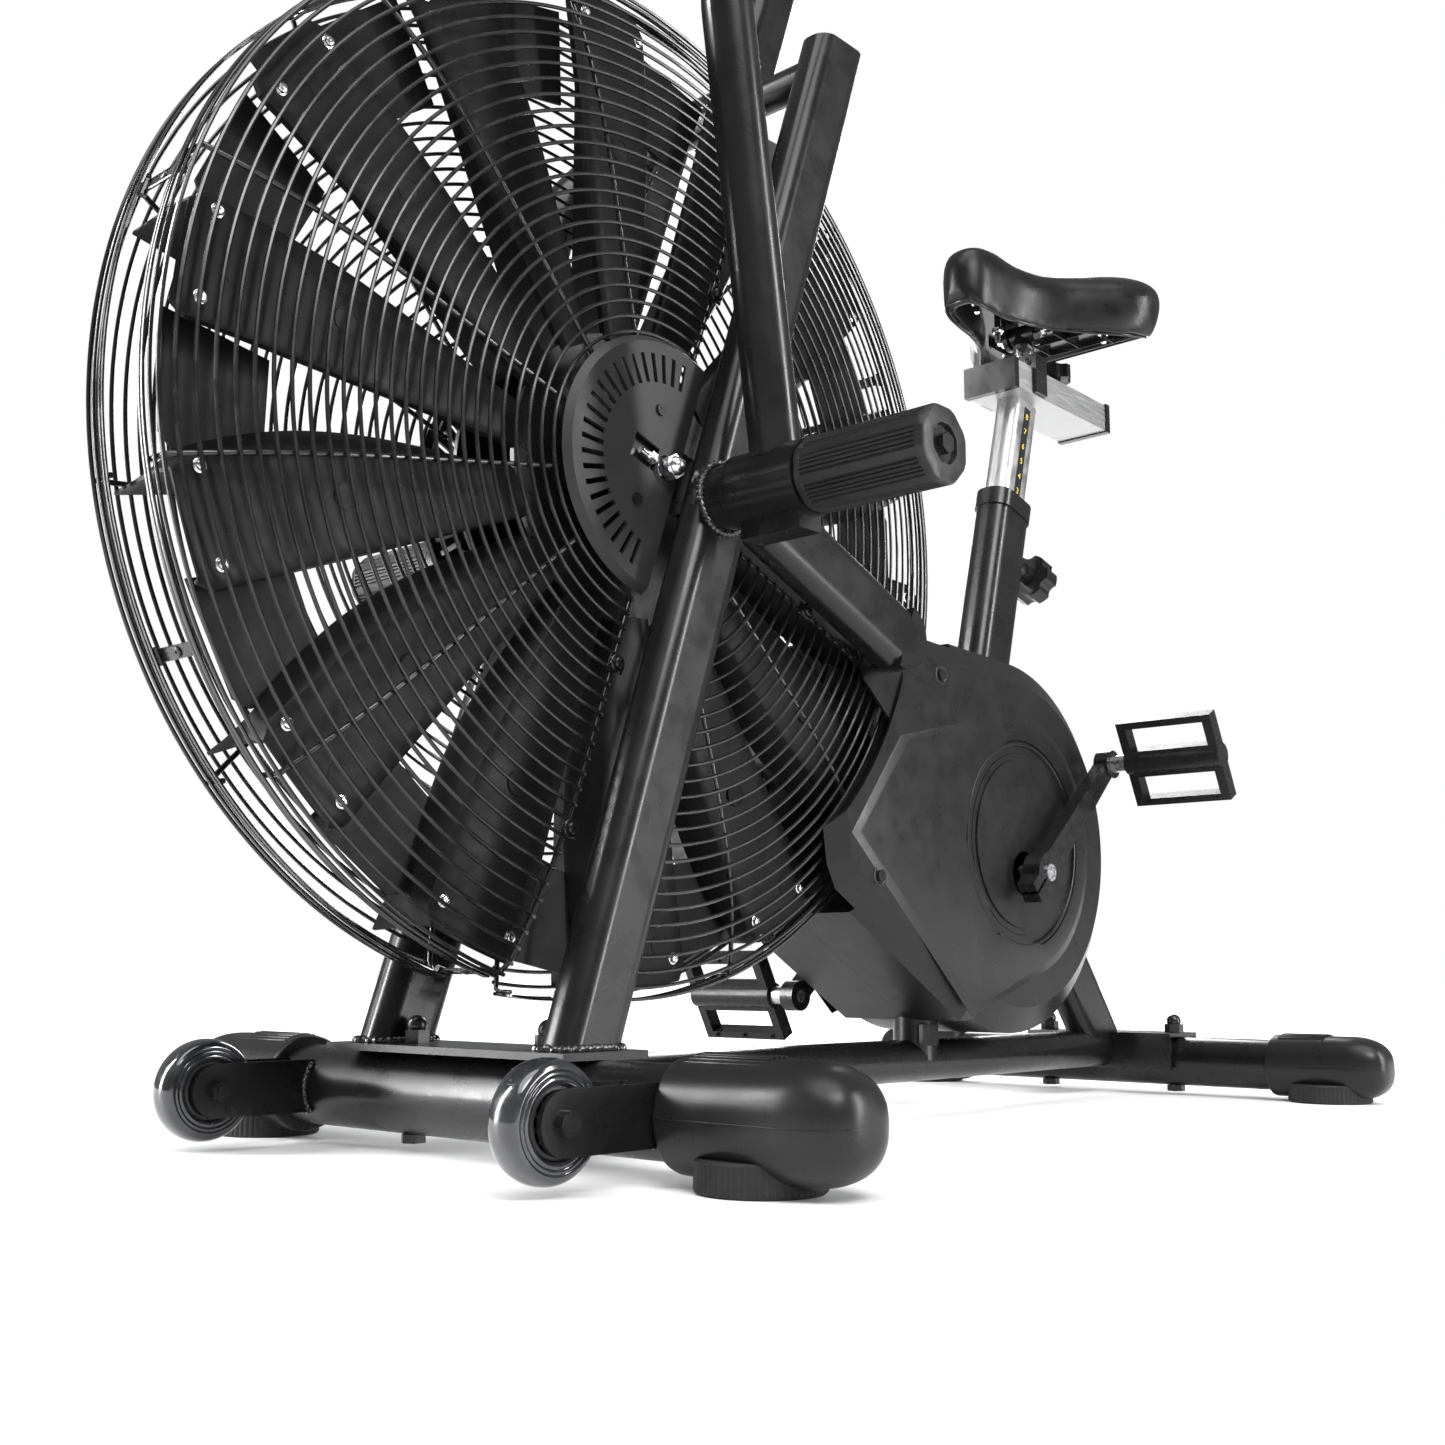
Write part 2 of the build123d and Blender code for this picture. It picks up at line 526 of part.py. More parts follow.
def belt_loop(offset):
    """The belt's outline, `offset` out from the pulleys, as a face."""
    small, large = FAN_PULLEY_R + offset, CRANK_PULLEY_R + offset
    run = CRANK - AXLE
    spread = math.acos((large - small) / run.length)
    heading = math.atan2(run.Z, run.X)
    corners = []
    for sign in (1, -1):
        turn = heading + sign * (math.pi - spread)
        side = Vector(math.cos(turn), 0, math.sin(turn)) * -1
        corners.append((AXLE + side * small, CRANK + side * large))
    (a1, c1), (a2, c2) = corners
    strip = Polyline(*[(p.X, p.Z) for p in (a1, c1, c2, a2)], close=True)
    plane = side_plane(-BELT_Y + BELT_W / 2)
    face = make_face(strip)
    face += Pos(AXLE.X, AXLE.Z) * Circle(small)
    face += Pos(CRANK.X, CRANK.Z) * Circle(large)
    return extrude(plane * face, BELT_W)


def drive_belt():
    """The poly-V belt from the crank pulley to the fan pulley."""
    return belt_loop(2.3) - belt_loop(0.3)


# ---- cranks and pedals -----------------------------------------------------------------------
def crank_arm():
    """A left crank arm: a pinch clamp, a tapering bar and a pedal eye."""
    y0, y1 = ARM_Y
    bar = slab([(CRANK_X - 12, CRANK_Z + 13), (CRANK_X - CRANK_LEN, CRANK_Z + 9),
                (CRANK_X - CRANK_LEN, CRANK_Z - 9), (CRANK_X - 12, CRANK_Z - 13)], y0 + 2, y1 - 3)
    arm = bar + disc(CRANK_X - CRANK_LEN, CRANK_Z, y0 + 2, y1 - 1, 14.0)
    arm += disc(CRANK_X, CRANK_Z, y0, y1, 19.0)
    clamp = block(CRANK_X + 4, CRANK_X + 30, y0, y1, CRANK_Z - 11, CRANK_Z + 11)
    slot = block(CRANK_X, CRANK_X + 40, y0 - 1, y1 + 1, CRANK_Z - 1.5, CRANK_Z + 1.5)
    arm = arm + clamp - slot
    arm -= disc(CRANK_X, CRANK_Z, y0 - 1, y1 + 1, SPINDLE_R)
    arm -= disc(CRANK_X - CRANK_LEN, CRANK_Z, y0 - 1, y1 + 1, 6.0)
    axis = Axis(CRANK, (0, 1, 0))
    return arm.rotate(axis, CRANK_UP)


def opposite(shape):
    """The matching right-hand piece, half a turn round the crank axis."""
    return other_side(shape).rotate(Axis(CRANK, (0, 1, 0)), 180)


def pedal_centre():
    """The left pedal's axis, as (x, z) from the front stabiliser."""
    turn = math.radians(CRANK_UP)
    return CRANK_X - CRANK_LEN * math.cos(turn), CRANK_Z + CRANK_LEN * math.sin(turn)


def crank_spindles():
    """The crank spindle and the two pedal spindles."""
    spindle = disc(CRANK_X, CRANK_Z, -SPINDLE_HALF, SPINDLE_HALF, SPINDLE_R)
    x, z = pedal_centre()
    left = disc(x, z, ARM_Y[0] + 2, PEDAL_Y[1] - 6, 6.0)
    left += disc(x, z, ARM_Y[1] - 0.9, PEDAL_Y[0] - 1.0, 8.5)
    return solids_of(spindle, left, opposite(left))


def pedal():
    """A left platform pedal: an open cage around a bored axle tube, with studs."""
    x, z = pedal_centre()
    y0, y1 = PEDAL_Y
    half, rail, thick = 44.0, 7.0, 7.0
    body = block(x - half, x + half, y0, y1, z - thick, z + thick)
    window = block(x + 13.5, x + half - rail, y0 + 9, y1 - 9, z - 20, z + 20)
    body = body - window - mirror(window, about=Plane(origin=at(x, 0, z), z_dir=(1, 0, 0)))
    body += disc(x, z, y0, y1, 12.0)
    for side in (-1, 1):
        for y in (y0 + 14, (y0 + y1) / 2, y1 - 14):
            stud = side * (half - 3.5)
            body += rod(at(x + stud, y, z - 10), at(x + stud, y, z + 10), 2)
    body -= disc(x, z, y0 - 1, y1 - 4, 6.06)
    return body.rotate(Axis(at(x, 0, z), (0, 1, 0)), -PEDAL_PITCH)


# ---- covers ----------------------------------------------------------------------------------
def cover_outline(inset=0.0):
    """The drive cover's side view as a face, drawn in by an inset."""
    body = [(-592, 422), (-421, 429), (-290, 300), (-304, 212), (-316, 190), (-504, 83),
            (-592, 84)]
    face = make_face(Polyline(*[(FRONT_X + x, z) for x, z in body], close=True))
    face += Pos(FRONT_X + CAP_X, CAP_Z) * Circle(COVER_R)
    return offset(face, -inset) if inset else face


def bevelled(face_y, inset, start):
    """The cover's form from y = start to face_y, its outer edge bevelled inwards."""
    shoulder = face_y - BEVEL_DEEP
    body = extrude(side_plane(shoulder) * cover_outline(inset), shoulder - start)
    return body + extrude(side_plane(shoulder) * cover_outline(inset), -BEVEL_DEEP, taper=BEVEL_TAPER)


def cover(face_y):
    """One drive-cover shell on the rider's left, its outer face at face_y."""
    well = disc(AXLE_X, AXLE_Z, -10, WELL_Y + COVER_WALL, WELL_R + COVER_WALL)
    shell = bevelled(face_y, 0, 0.1) - (bevelled(face_y - COVER_WALL, COVER_WALL, -5) - well)
    shell -= disc(AXLE_X, AXLE_Z, -10, WELL_Y, WELL_R)
    shell -= block(-430, -330, CHEEK_Y[0] - 0.6, face_y - COVER_WALL, 330, 418)
    shell -= disc(AXLE_X, AXLE_Z, -10, face_y + 5, COVER_FRONT_R)
    shell -= disc(CAP_X, CAP_Z, face_y - 20, face_y + 5, CAP_R + 0.3)
    shell -= oval_bar(seat_centre(200), seat_centre(700), 63, 39, 16)
    shell -= rod(at(POST_X, 0, 40), at(POST_X, 0, 300), POST_R + 0.5)
    shell -= oval_bar(at(*with_y(STRUT_FOOT)), at(*with_y(STRUT_HEAD)), 61, 33, 14)
    return shell.solids().sort_by(SortBy.VOLUME)[-1]


def with_y(place):
    """An (x, z) place on the centre plane as x, y, z."""
    return place[0], 0, place[1]


def crank_cap(face_y):
    """The round cap around the crank spindle, with a raised rim."""
    cap = disc(CAP_X, CAP_Z, face_y - 2.6, face_y + 0.5, CAP_R)
    cap += disc(CAP_X, CAP_Z, face_y, face_y + 2.2, CAP_R - 6)
    return cap - disc(CRANK_X, CRANK_Z, face_y - 6, face_y + 6, 21.0)


def cover_screws():
    """The crosshead screws of the drive cover and the hub covers."""
    places = [(-462, 390), (-366, 206)]
    screws = []
    for x, z in places:
        for face_y, side in ((LEFT_FACE, 1), (-RIGHT_FACE, -1)):
            low, high = sorted((face_y, face_y + side * 2.2))
            screws.append(disc(x, z, low, high, 5.0))
    for angle in (62, -62):
        spot = AXLE + AHEAD * 44 * math.cos(math.radians(angle)) + UP * 44 * math.sin(
            math.radians(angle))
        x, z = spot.X - FRONT_X, spot.Z
        screws.append(disc(x, z, LEFT_HUB[1], LEFT_HUB[1] + 2.0, 4.5))
        screws.append(disc(x, z, -RIGHT_HUB[1] - 2.0, -RIGHT_HUB[1], 4.5))
    return screws


# ---- handlebar arms and foot pegs ------------------------------------------------------------
def peg_shaft():
    """The fixed shaft an arm swings on, with its boss on the upright."""
    shaft = disc(PEG_X, PEG_Z, TUBE_Y + TUBE_WIDE / 2, PEG_Y[1] - 6, PEG_SHAFT_R)
    boss = disc(PEG_X, PEG_Z, *BOSS_Y, 24.0)
    stop = disc(PEG_X, PEG_Z, BOSS_Y[1] - 3, BOSS_Y[1], 28.0)
    return shaft + boss + stop


def foot_peg():
    """A rounded-octagon rubber peg over the shaft's end."""
    plane = Plane(origin=PEG + Vector(0, PEG_Y[1], 0), x_dir=(1, 0, 0), z_dir=(0, -1, 0))
    shape = plane * Rot(0, 0, 22.5) * RegularPolygon(26.5, 8, major_radius=False)
    peg = extrude(shape, PEG_Y[1] - PEG_Y[0])
    peg = fillet(peg.edges().filter_by(Axis.Y), 6.0)
    peg -= disc(PEG_X, PEG_Z, PEG_Y[0] - 1, PEG_Y[1] - 6, PEG_SHAFT_R)
    return peg - disc(PEG_X, PEG_Z, PEG_Y[1] - 6, PEG_Y[1] + 1, 12.0)


ARM_PATH = [(-119, ARM_TUBE_Y, 490), (-62, ARM_TUBE_Y, 830), (-135, 190, 1050), (-300, 212, 1150)]


def arm():
    """The left handlebar arm: a bored sleeve, a bent tube and a gusset lug under the sleeve."""
    path = FilletPolyline(*[at(*point) for point in ARM_PATH], radius=90)
    outline = Plane(origin=path @ 0, z_dir=path % 0)
    tube = sweep(outline * Circle(ARM_TUBE_R), path=path)
    sleeve = disc(PEG_X, PEG_Z, *SLEEVE_Y, 28.0)
    lug = block(PEG_X - 12, PEG_X + 12, SLEEVE_Y[0] + 4, SLEEVE_Y[1] - 4, PEG_Z - 38, PEG_Z - 20)
    arm_solid = tube + sleeve + lug
    return arm_solid - disc(PEG_X, PEG_Z, SLEEVE_Y[0] - 1, SLEEVE_Y[1] + 1, PEG_SHAFT_R + 0.06)


def grip():
    """The foam grip over the arm's end, with a closed tip."""
    start, end = at(*ARM_PATH[-2]), at(*ARM_PATH[-1])
    along = (end - start).normalized()
    low, high = end - along * 122, end + along * 6
    return rod(low, high, GRIP_R) - rod(low, end, ARM_TUBE_R)


def right_arm_pose(shape):
    """A left arm's piece mirrored and swung back to where the right arm rests."""
    return other_side(shape).rotate(Axis(PEG, (0, 1, 0)), -ARM_SWING)


# ---- seat ------------------------------------------------------------------------------------
def seat_post():
    """The flat-oval aluminium post with its row of height holes."""
    low, high = seat_centre(SEAT_POST_FOOT), seat_centre(SEAT_POST_TOP)
    post = oval_tube(low, high, 50, 28, 12, 2.5)
    post -= block(-900, -600, -30, 30, RAIL_Z[0], RAIL_Z[0] + 30)
    for step in range(9):
        middle = seat_centre(SEAT_POST_FOOT + 30 + step * 32)
        post -= rod(middle + SEAT_BACK * 15, middle + SEAT_BACK * 40, 5.5)
    return post


def seat_rail():
    """The hollow box rail on top of the post, with a slot along its top."""
    half = RAIL_WIDE / 2
    rail = block(*RAIL_X, -half, half, *RAIL_Z)
    rail -= block(RAIL_X[0] - 1, RAIL_X[1] + 1, -half + 3, half - 3, RAIL_Z[0] + 3, RAIL_Z[1] - 3)
    return rail - block(RAIL_X[0] - 1, RAIL_X[1] + 1, -7, 7, RAIL_Z[1] - 5, RAIL_Z[1] + 1)


def rail_caps():
    """The moulded caps that close the rail's ends."""
    half = RAIL_WIDE / 2
    front = block(RAIL_X[1], RAIL_X[1] + 8, -half - 1.5, half + 1.5, RAIL_Z[0] - 1.5, RAIL_Z[1] + 1.5)
    rear = block(RAIL_X[0] - 8, RAIL_X[0], -half - 1.5, half + 1.5, RAIL_Z[0] - 1.5, RAIL_Z[1] + 1.5)
    return solids_of(front, rear)


CARRIAGE_X = (-734.0, -712.0)


def seat_carriage():
    """The saddle's carriage: a collar round the rail's front, a narrow top bar and a stub."""
    half = RAIL_WIDE / 2
    collar = block(*CARRIAGE_X, -half - 4.5, half + 4.5, RAIL_Z[0] + 2, RAIL_Z[1] + 15)
    collar -= block(CARRIAGE_X[0] - 1, CARRIAGE_X[1] + 1, -half - 0.4, half + 0.4, 700, RAIL_Z[1] + 0.4)
    x, z = SADDLE_PIVOT
    bar = block(-822, CARRIAGE_X[0], -13, 13, RAIL_Z[1] + 0.4, RAIL_Z[1] + 12)
    stub = rod(at(x, 0, RAIL_Z[1] + 12), at(x, 0, z + 2), 11.0)
    stub += rod(at(x, 0, RAIL_Z[1] + 10), at(x, 0, RAIL_Z[1] + 18), 13.0)
    boss = rod(at(x, -13, z), at(x, 13, z), 11.0)
    bar -= rod(at(-806, 0, 760), at(-806, 0, 790), 5.06)
    return collar + bar + stub + boss - rod(at(x, -20, z), at(x, 20, z), 4.06)


def lobed_knob(centre, direction, radius, depth, lobes=6):
    """A hand knob: a disc with scalloped lobes, along a direction."""
    plane = Plane(origin=centre, z_dir=direction)
    shape = Circle(radius)
    for lobe in range(lobes):
        shape -= Rot(0, 0, lobe * 360 / lobes) * Pos(radius + 5.0, 0) * Circle(9.0)
    return extrude(plane * shape, depth)


def height_knob():
    """The sprung pull-knob at the back of the seat tube."""
    middle = seat_centre(KNOB_Z)
    pin = rod(middle + SEAT_BACK * 26.2, middle + SEAT_BACK * 56, 5.0)
    neck = rod(middle + SEAT_BACK * 46.5, middle + SEAT_BACK * 62, 10.0)
    return pin + neck + lobed_knob(middle + SEAT_BACK * 60, SEAT_BACK, KNOB_R, 20)


def carriage_knob():
    """The knob that clamps the carriage to the rail."""
    knob = rod(at(-806, 0, RAIL_Z[1] - 4.5), at(-806, 0, 790), 5.0)
    knob += rod(at(-806, 0, RAIL_Z[1] + 12.4), at(-806, 0, 782), 9.0)
    return knob + lobed_knob(at(-806, 0, 781), Vector(0, 0, 1), 21.0, 15)


SADDLE_NOSE, SADDLE_TAIL, PAN_Z = -606.0, -872.0, 838.0


def saddle_well(inset):
    """The plan of the hollow under the saddle, as a face, drawn in by an inset."""
    outline = [(-628, 14), (-662, 20), (-705, 30), (-752, 58), (-800, 92), (-836, 98), (-853, 82)]
    points = [(FRONT_X + x, y) for x, y in outline]
    points += [(FRONT_X + x, -y) for x, y in reversed(outline)]
    face = make_face(Polyline(*points, close=True))
    return offset(face, -inset) if inset else face


def saddle_pan():
    """The hard pan in the saddle's hollow, with the two ears that clamp it."""
    pan = extrude(Plane.XY.offset(PAN_Z - 7) * saddle_well(0.5), 6.95)
    x, z = SADDLE_PIVOT
    for y in (-19.0, 13.4):
        pan += block(x - 14, x + 14, y, y + 5.6, z, PAN_Z - 6)
        pan += disc(x, z, y, y + 5.6, 14.0)
    return pan - disc(x, z, -30, 30, 4.1)


def saddle_clamp():
    """The plated cross bolt of the saddle clamp, with its nuts."""
    x, z = SADDLE_PIVOT
    bolt = disc(x, z, -31, 31, 4.0)
    for low in (-26.0, 19.05):
        bolt += hexagon(at(x, low, z), at(x, low + 6.95, z), 14)
    return bolt


def saddle_cushion():
    """The padded saddle: a narrow nose, wide wings at the rear, and a skirt round its pan."""
    stations = [(SADDLE_NOSE, 26, 826, 856, 11), (-618, 48, 808, 869, 20), (-660, 62, 802, 873, 24),
                (-705, 84, 801, 871, 26), (-755, 148, 801, 873, 28), (-805, 214, 803, 882, 30),
                (-845, 232, 808, 890, 30), (SADDLE_TAIL + 3, 204, 822, 884, 24)]
    sections = []
    for x, wide, low, high, corner in stations:
        plane = Plane(origin=at(x, 0, (low + high) / 2), x_dir=(0, 1, 0), z_dir=(-1, 0, 0))
        sections.append(plane * RectangleRounded(wide, high - low, corner))
    cushion = loft(sections)
    return cushion - extrude(Plane.XY.offset(780) * saddle_well(0), PAN_Z - 780)


# ---- console ---------------------------------------------------------------------------------
def console_frame():
    """The console's plane: local x across, local y up its face, local z out to the rider."""
    middle = leg_centre(LEG_TOP_Z - 22)
    head = Vector(middle.X, 0, middle.Z) + UP * ((MAST_TOP - middle.Z) / UP.Z)
    tilt = math.radians(CONSOLE_TILT)
    out = Vector(-math.cos(tilt), 0, math.sin(tilt))
    return Plane(origin=head, x_dir=(0, -1, 0), z_dir=out)


def console_housing():
    """A rounded display housing on two ears either side of the mast's head."""
    frame = console_frame()
    body = frame * Pos(0, 62, 22) * Box(170, 110, 26)
    body = fillet(body.edges().filter_by(Axis(frame.origin, frame.z_dir)), 16)
    body -= frame * Pos(0, 72, 34.2) * Box(118, 62, 3.0)
    body -= frame * Pos(0, 22, 30) * Cylinder(8.06, 16)
    ears = [frame * Pos(side * 27, 4, 6) * Box(8, 24, 26) for side in (-1, 1)]
    for ear in ears:
        body += ear
    head = frame.origin
    return body - rod(head - Vector(0, 40, 0), head + Vector(0, 40, 0), 4.06)


def console_screen():
    """The display window."""
    return console_frame() * Pos(0, 72, 33.4) * Box(117.6, 61.6, 1.2)


def console_button():
    """The single push button under the display."""
    return console_frame() * Pos(0, 22, 31.5) * Cylinder(8.0, 11)


def console_pin():
    """The hinge pin through the mast's head."""
    head = console_frame().origin
    return rod(head - Vector(0, 33, 0), head + Vector(0, 33, 0), 4.0)


# ---- the parts -------------------------------------------------------------------------------
PARTS = {
    "front_stabiliser": stabiliser(0, STAB_Z, STAB_R, STAB_HALF, 3.0, FRONT_BOLT_Y),
    "rear_stabiliser": stabiliser(REAR_X, REAR_Z, REAR_R, REAR_HALF, 2.5, REAR_BOLT_Y),
    "end_caps": both_sides(end_cap(0, STAB_Z, FRONT_CAP_R, STAB_R, FRONT_CAP_Y, STAB_HALF))
    + both_sides(end_cap(REAR_X, REAR_Z, REAR_CAP_R, REAR_R, REAR_CAP_Y, REAR_HALF)),
    "levelling_feet": both_sides(foot(0, FRONT_FOOT_Y, STAB_Z, FRONT_CAP_R, FOOT_H))
    + both_sides(foot(REAR_X, REAR_FOOT_Y, REAR_Z, REAR_CAP_R, FOOT_H - 2)),
    "stabiliser_brackets": front_brackets() + solids_of(rear_bracket()),
    "frame_bolts": frame_bolts() + solids_of(console_pin()),
    "left_wheel_tyre": wheel_tyre(WHEEL_Y),
    "left_wheel_hub": wheel_hub(WHEEL_Y),
    "right_wheel_tyre": wheel_tyre(-WHEEL_Y),
    "right_wheel_hub": wheel_hub(-WHEEL_Y),
    "left_upright": leg(),
    "right_upright": other_side(leg()),
    "side_beams": both_sides(side_beam()),
    "cheek_plates": both_sides(cheek_plate()),
    "console_mast": console_mast(),
    "base_tube": base_tube(),
    "support_post": support_post(),
    "rear_strut": rear_strut(),
    "seat_tube": seat_tube(),
    "seat_tube_bush": seat_tube_bush(),
    "bottom_bracket": disc(CRANK_X, CRANK_Z, -CHEEK_Y[1], CHEEK_Y[1], 19.95, 17.5),
    "crank_bearings": [disc(CRANK_X, CRANK_Z, y, y + 12, 17.5, SPINDLE_R + 0.04)
                       for y in (-71.0, 59.0)],
    "left_cage": cage_side(),
    "right_cage": [other_side(section) for section in cage_side()],
    "hub_covers": [hub_cover(*LEFT_HUB), other_side(hub_cover(*RIGHT_HUB))],
    "axle_brackets": axle_brackets(),
    "fan_axle": fan_axle(),
    "fan_hub": fan_hub(),
    "fan_bearings": fan_bearings(),
    "fan_blades": fan_blades(),
    "fan_pulley": pulley(AXLE_X, AXLE_Z, FAN_PULLEY_R, 16.0),
    "drive_belt": drive_belt(),
    "left_cover": cover(LEFT_FACE),
    "right_cover": other_side(cover(RIGHT_FACE)),
    "crank_caps": [crank_cap(LEFT_FACE), other_side(crank_cap(RIGHT_FACE))],
    "cover_screws": cover_screws(),
    "crank_spindles": crank_spindles(),
    "crank_pulley": crank_pulley(),
    "left_crank_arm": crank_arm(),
    "right_crank_arm": opposite(crank_arm()),
    "left_pedal": pedal(),
    "right_pedal": opposite(pedal()),
    "peg_shafts": both_sides(peg_shaft()),
    "foot_pegs": both_sides(foot_peg()),
    "left_arm": arm(),
    "left_grip": grip(),
    "right_arm": right_arm_pose(arm()),
    "right_grip": right_arm_pose(grip()),
    "seat_post": seat_post(),
    "seat_rail": seat_rail(),
    "rail_caps": rail_caps(),
    "height_knob": height_knob(),
    "seat_carriage": seat_carriage(),
    "carriage_knob": carriage_knob(),
    "saddle_pan": saddle_pan(),
    "saddle_clamp": saddle_clamp(),
    "saddle_cushion": saddle_cushion(),
    "console_housing": console_housing(),
    "console_screen": console_screen(),
    "console_button": console_button(),
}

os.makedirs("parts", exist_ok=True)
for name, shape in PARTS.items():
    solids = shape if isinstance(shape, list) else solids_of(shape)
    flat = [solid for item in solids for solid in item.solids()]
    export_step(Compound(children=flat) if len(flat) > 1 else flat[0], f"parts/{name}.step")
    print(name, len(flat))
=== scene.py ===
"""The looks of the air bike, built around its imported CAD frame. Lengths are in millimetres in this
script and are turned into metres where a mesh is made."""
import json
import math

import bmesh
import bpy
from mathutils import Matrix, Vector, noise


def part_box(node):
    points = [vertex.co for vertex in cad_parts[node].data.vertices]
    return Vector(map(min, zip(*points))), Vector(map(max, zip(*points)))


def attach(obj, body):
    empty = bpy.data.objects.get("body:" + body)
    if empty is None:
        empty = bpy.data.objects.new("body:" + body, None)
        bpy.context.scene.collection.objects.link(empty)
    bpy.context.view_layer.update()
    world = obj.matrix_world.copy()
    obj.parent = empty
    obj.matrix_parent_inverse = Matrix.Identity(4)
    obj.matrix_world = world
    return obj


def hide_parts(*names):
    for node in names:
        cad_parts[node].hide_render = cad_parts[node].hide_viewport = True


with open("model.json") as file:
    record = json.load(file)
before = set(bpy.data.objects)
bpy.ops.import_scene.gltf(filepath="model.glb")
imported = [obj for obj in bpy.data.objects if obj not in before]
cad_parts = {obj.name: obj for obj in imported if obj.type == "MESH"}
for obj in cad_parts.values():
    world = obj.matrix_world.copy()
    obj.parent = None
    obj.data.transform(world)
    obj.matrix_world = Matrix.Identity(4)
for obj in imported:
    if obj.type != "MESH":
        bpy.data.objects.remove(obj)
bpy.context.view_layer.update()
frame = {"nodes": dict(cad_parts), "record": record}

MM = 0.001
LEAN = math.radians(18.5)
UP = Vector((-math.sin(LEAN), 0, math.cos(LEAN)))
AHEAD = Vector((math.cos(LEAN), 0, math.sin(LEAN)))
SIDE = Vector((0, 1, 0))
X_AXIS, DOWN = Vector((1, 0, 0)), Vector((0, 0, -1))
SIDES = ((1, "left"), (-1, "right"))        # the sign of y and the word for each side


def ray(angle):
    """The unit vector at an angle in the bike's side view, from forward towards up."""
    return Vector((math.cos(angle), 0, math.sin(angle)))


def turns(count):
    """Evenly spaced angles round a full turn."""
    return [k * math.tau / count for k in range(count)]


def ring_points(middle, axis, radius, angles):
    """Points round an axis at a radius."""
    axis = Vector(axis).normalized()
    u = axis.orthogonal().normalized()
    v = axis.cross(u)
    return [Vector(middle) + (u * math.cos(a) + v * math.sin(a)) * radius for a in angles]


def linked(name, data):
    """A new object in the scene."""
    obj = bpy.data.objects.new(name, data)
    bpy.context.scene.collection.objects.link(obj)
    return obj


# ---- places read from the frame ----
def box_mm(node):
    """A CAD node's lowest and highest corners, in millimetres."""
    low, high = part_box(node)
    return Vector(low) / MM, Vector(high) / MM


def centre(node, y=None):
    """The middle of a CAD node's box, with y set if it is given."""
    low, high = box_mm(node)
    middle = (low + high) / 2
    if y is not None:
        middle.y = y
    return middle


AXLE = centre("fan_pulley", 0)
CRANK = centre("crank_pulley", 0)
PEG = centre("foot_pegs", 0)
CAP = centre("crank_caps", 0)
FRONT = centre("front_stabiliser", 0)
REAR = centre("rear_stabiliser", 0)
WHEEL = centre("left_wheel_tyre")


# ---- camera ----
CAMERA_AT = (1061.75, 883.0, 127.0)
CAMERA_YAW, CAMERA_PITCH, CAMERA_ROLL = 0.8439, 0.1515, 0.0028
CAMERA_LENS = 40.49


def add_camera():
    """The camera, low and in front on the rider's left."""
    data = bpy.data.cameras.new("camera")
    data.lens, data.sensor_width = CAMERA_LENS, 36.0
    data.clip_start, data.clip_end = 0.02, 60.0
    camera = linked("camera", data)
    look = Vector((-math.sin(CAMERA_YAW) * math.cos(CAMERA_PITCH),
                   -math.cos(CAMERA_YAW) * math.cos(CAMERA_PITCH), math.sin(CAMERA_PITCH)))
    turn = look.to_track_quat("-Z", "Y").to_matrix() @ Matrix.Rotation(CAMERA_ROLL, 3, "Z")
    camera.matrix_world = Matrix.Translation(Vector(CAMERA_AT) * MM) @ turn.to_4x4()
    bpy.context.scene.camera = camera


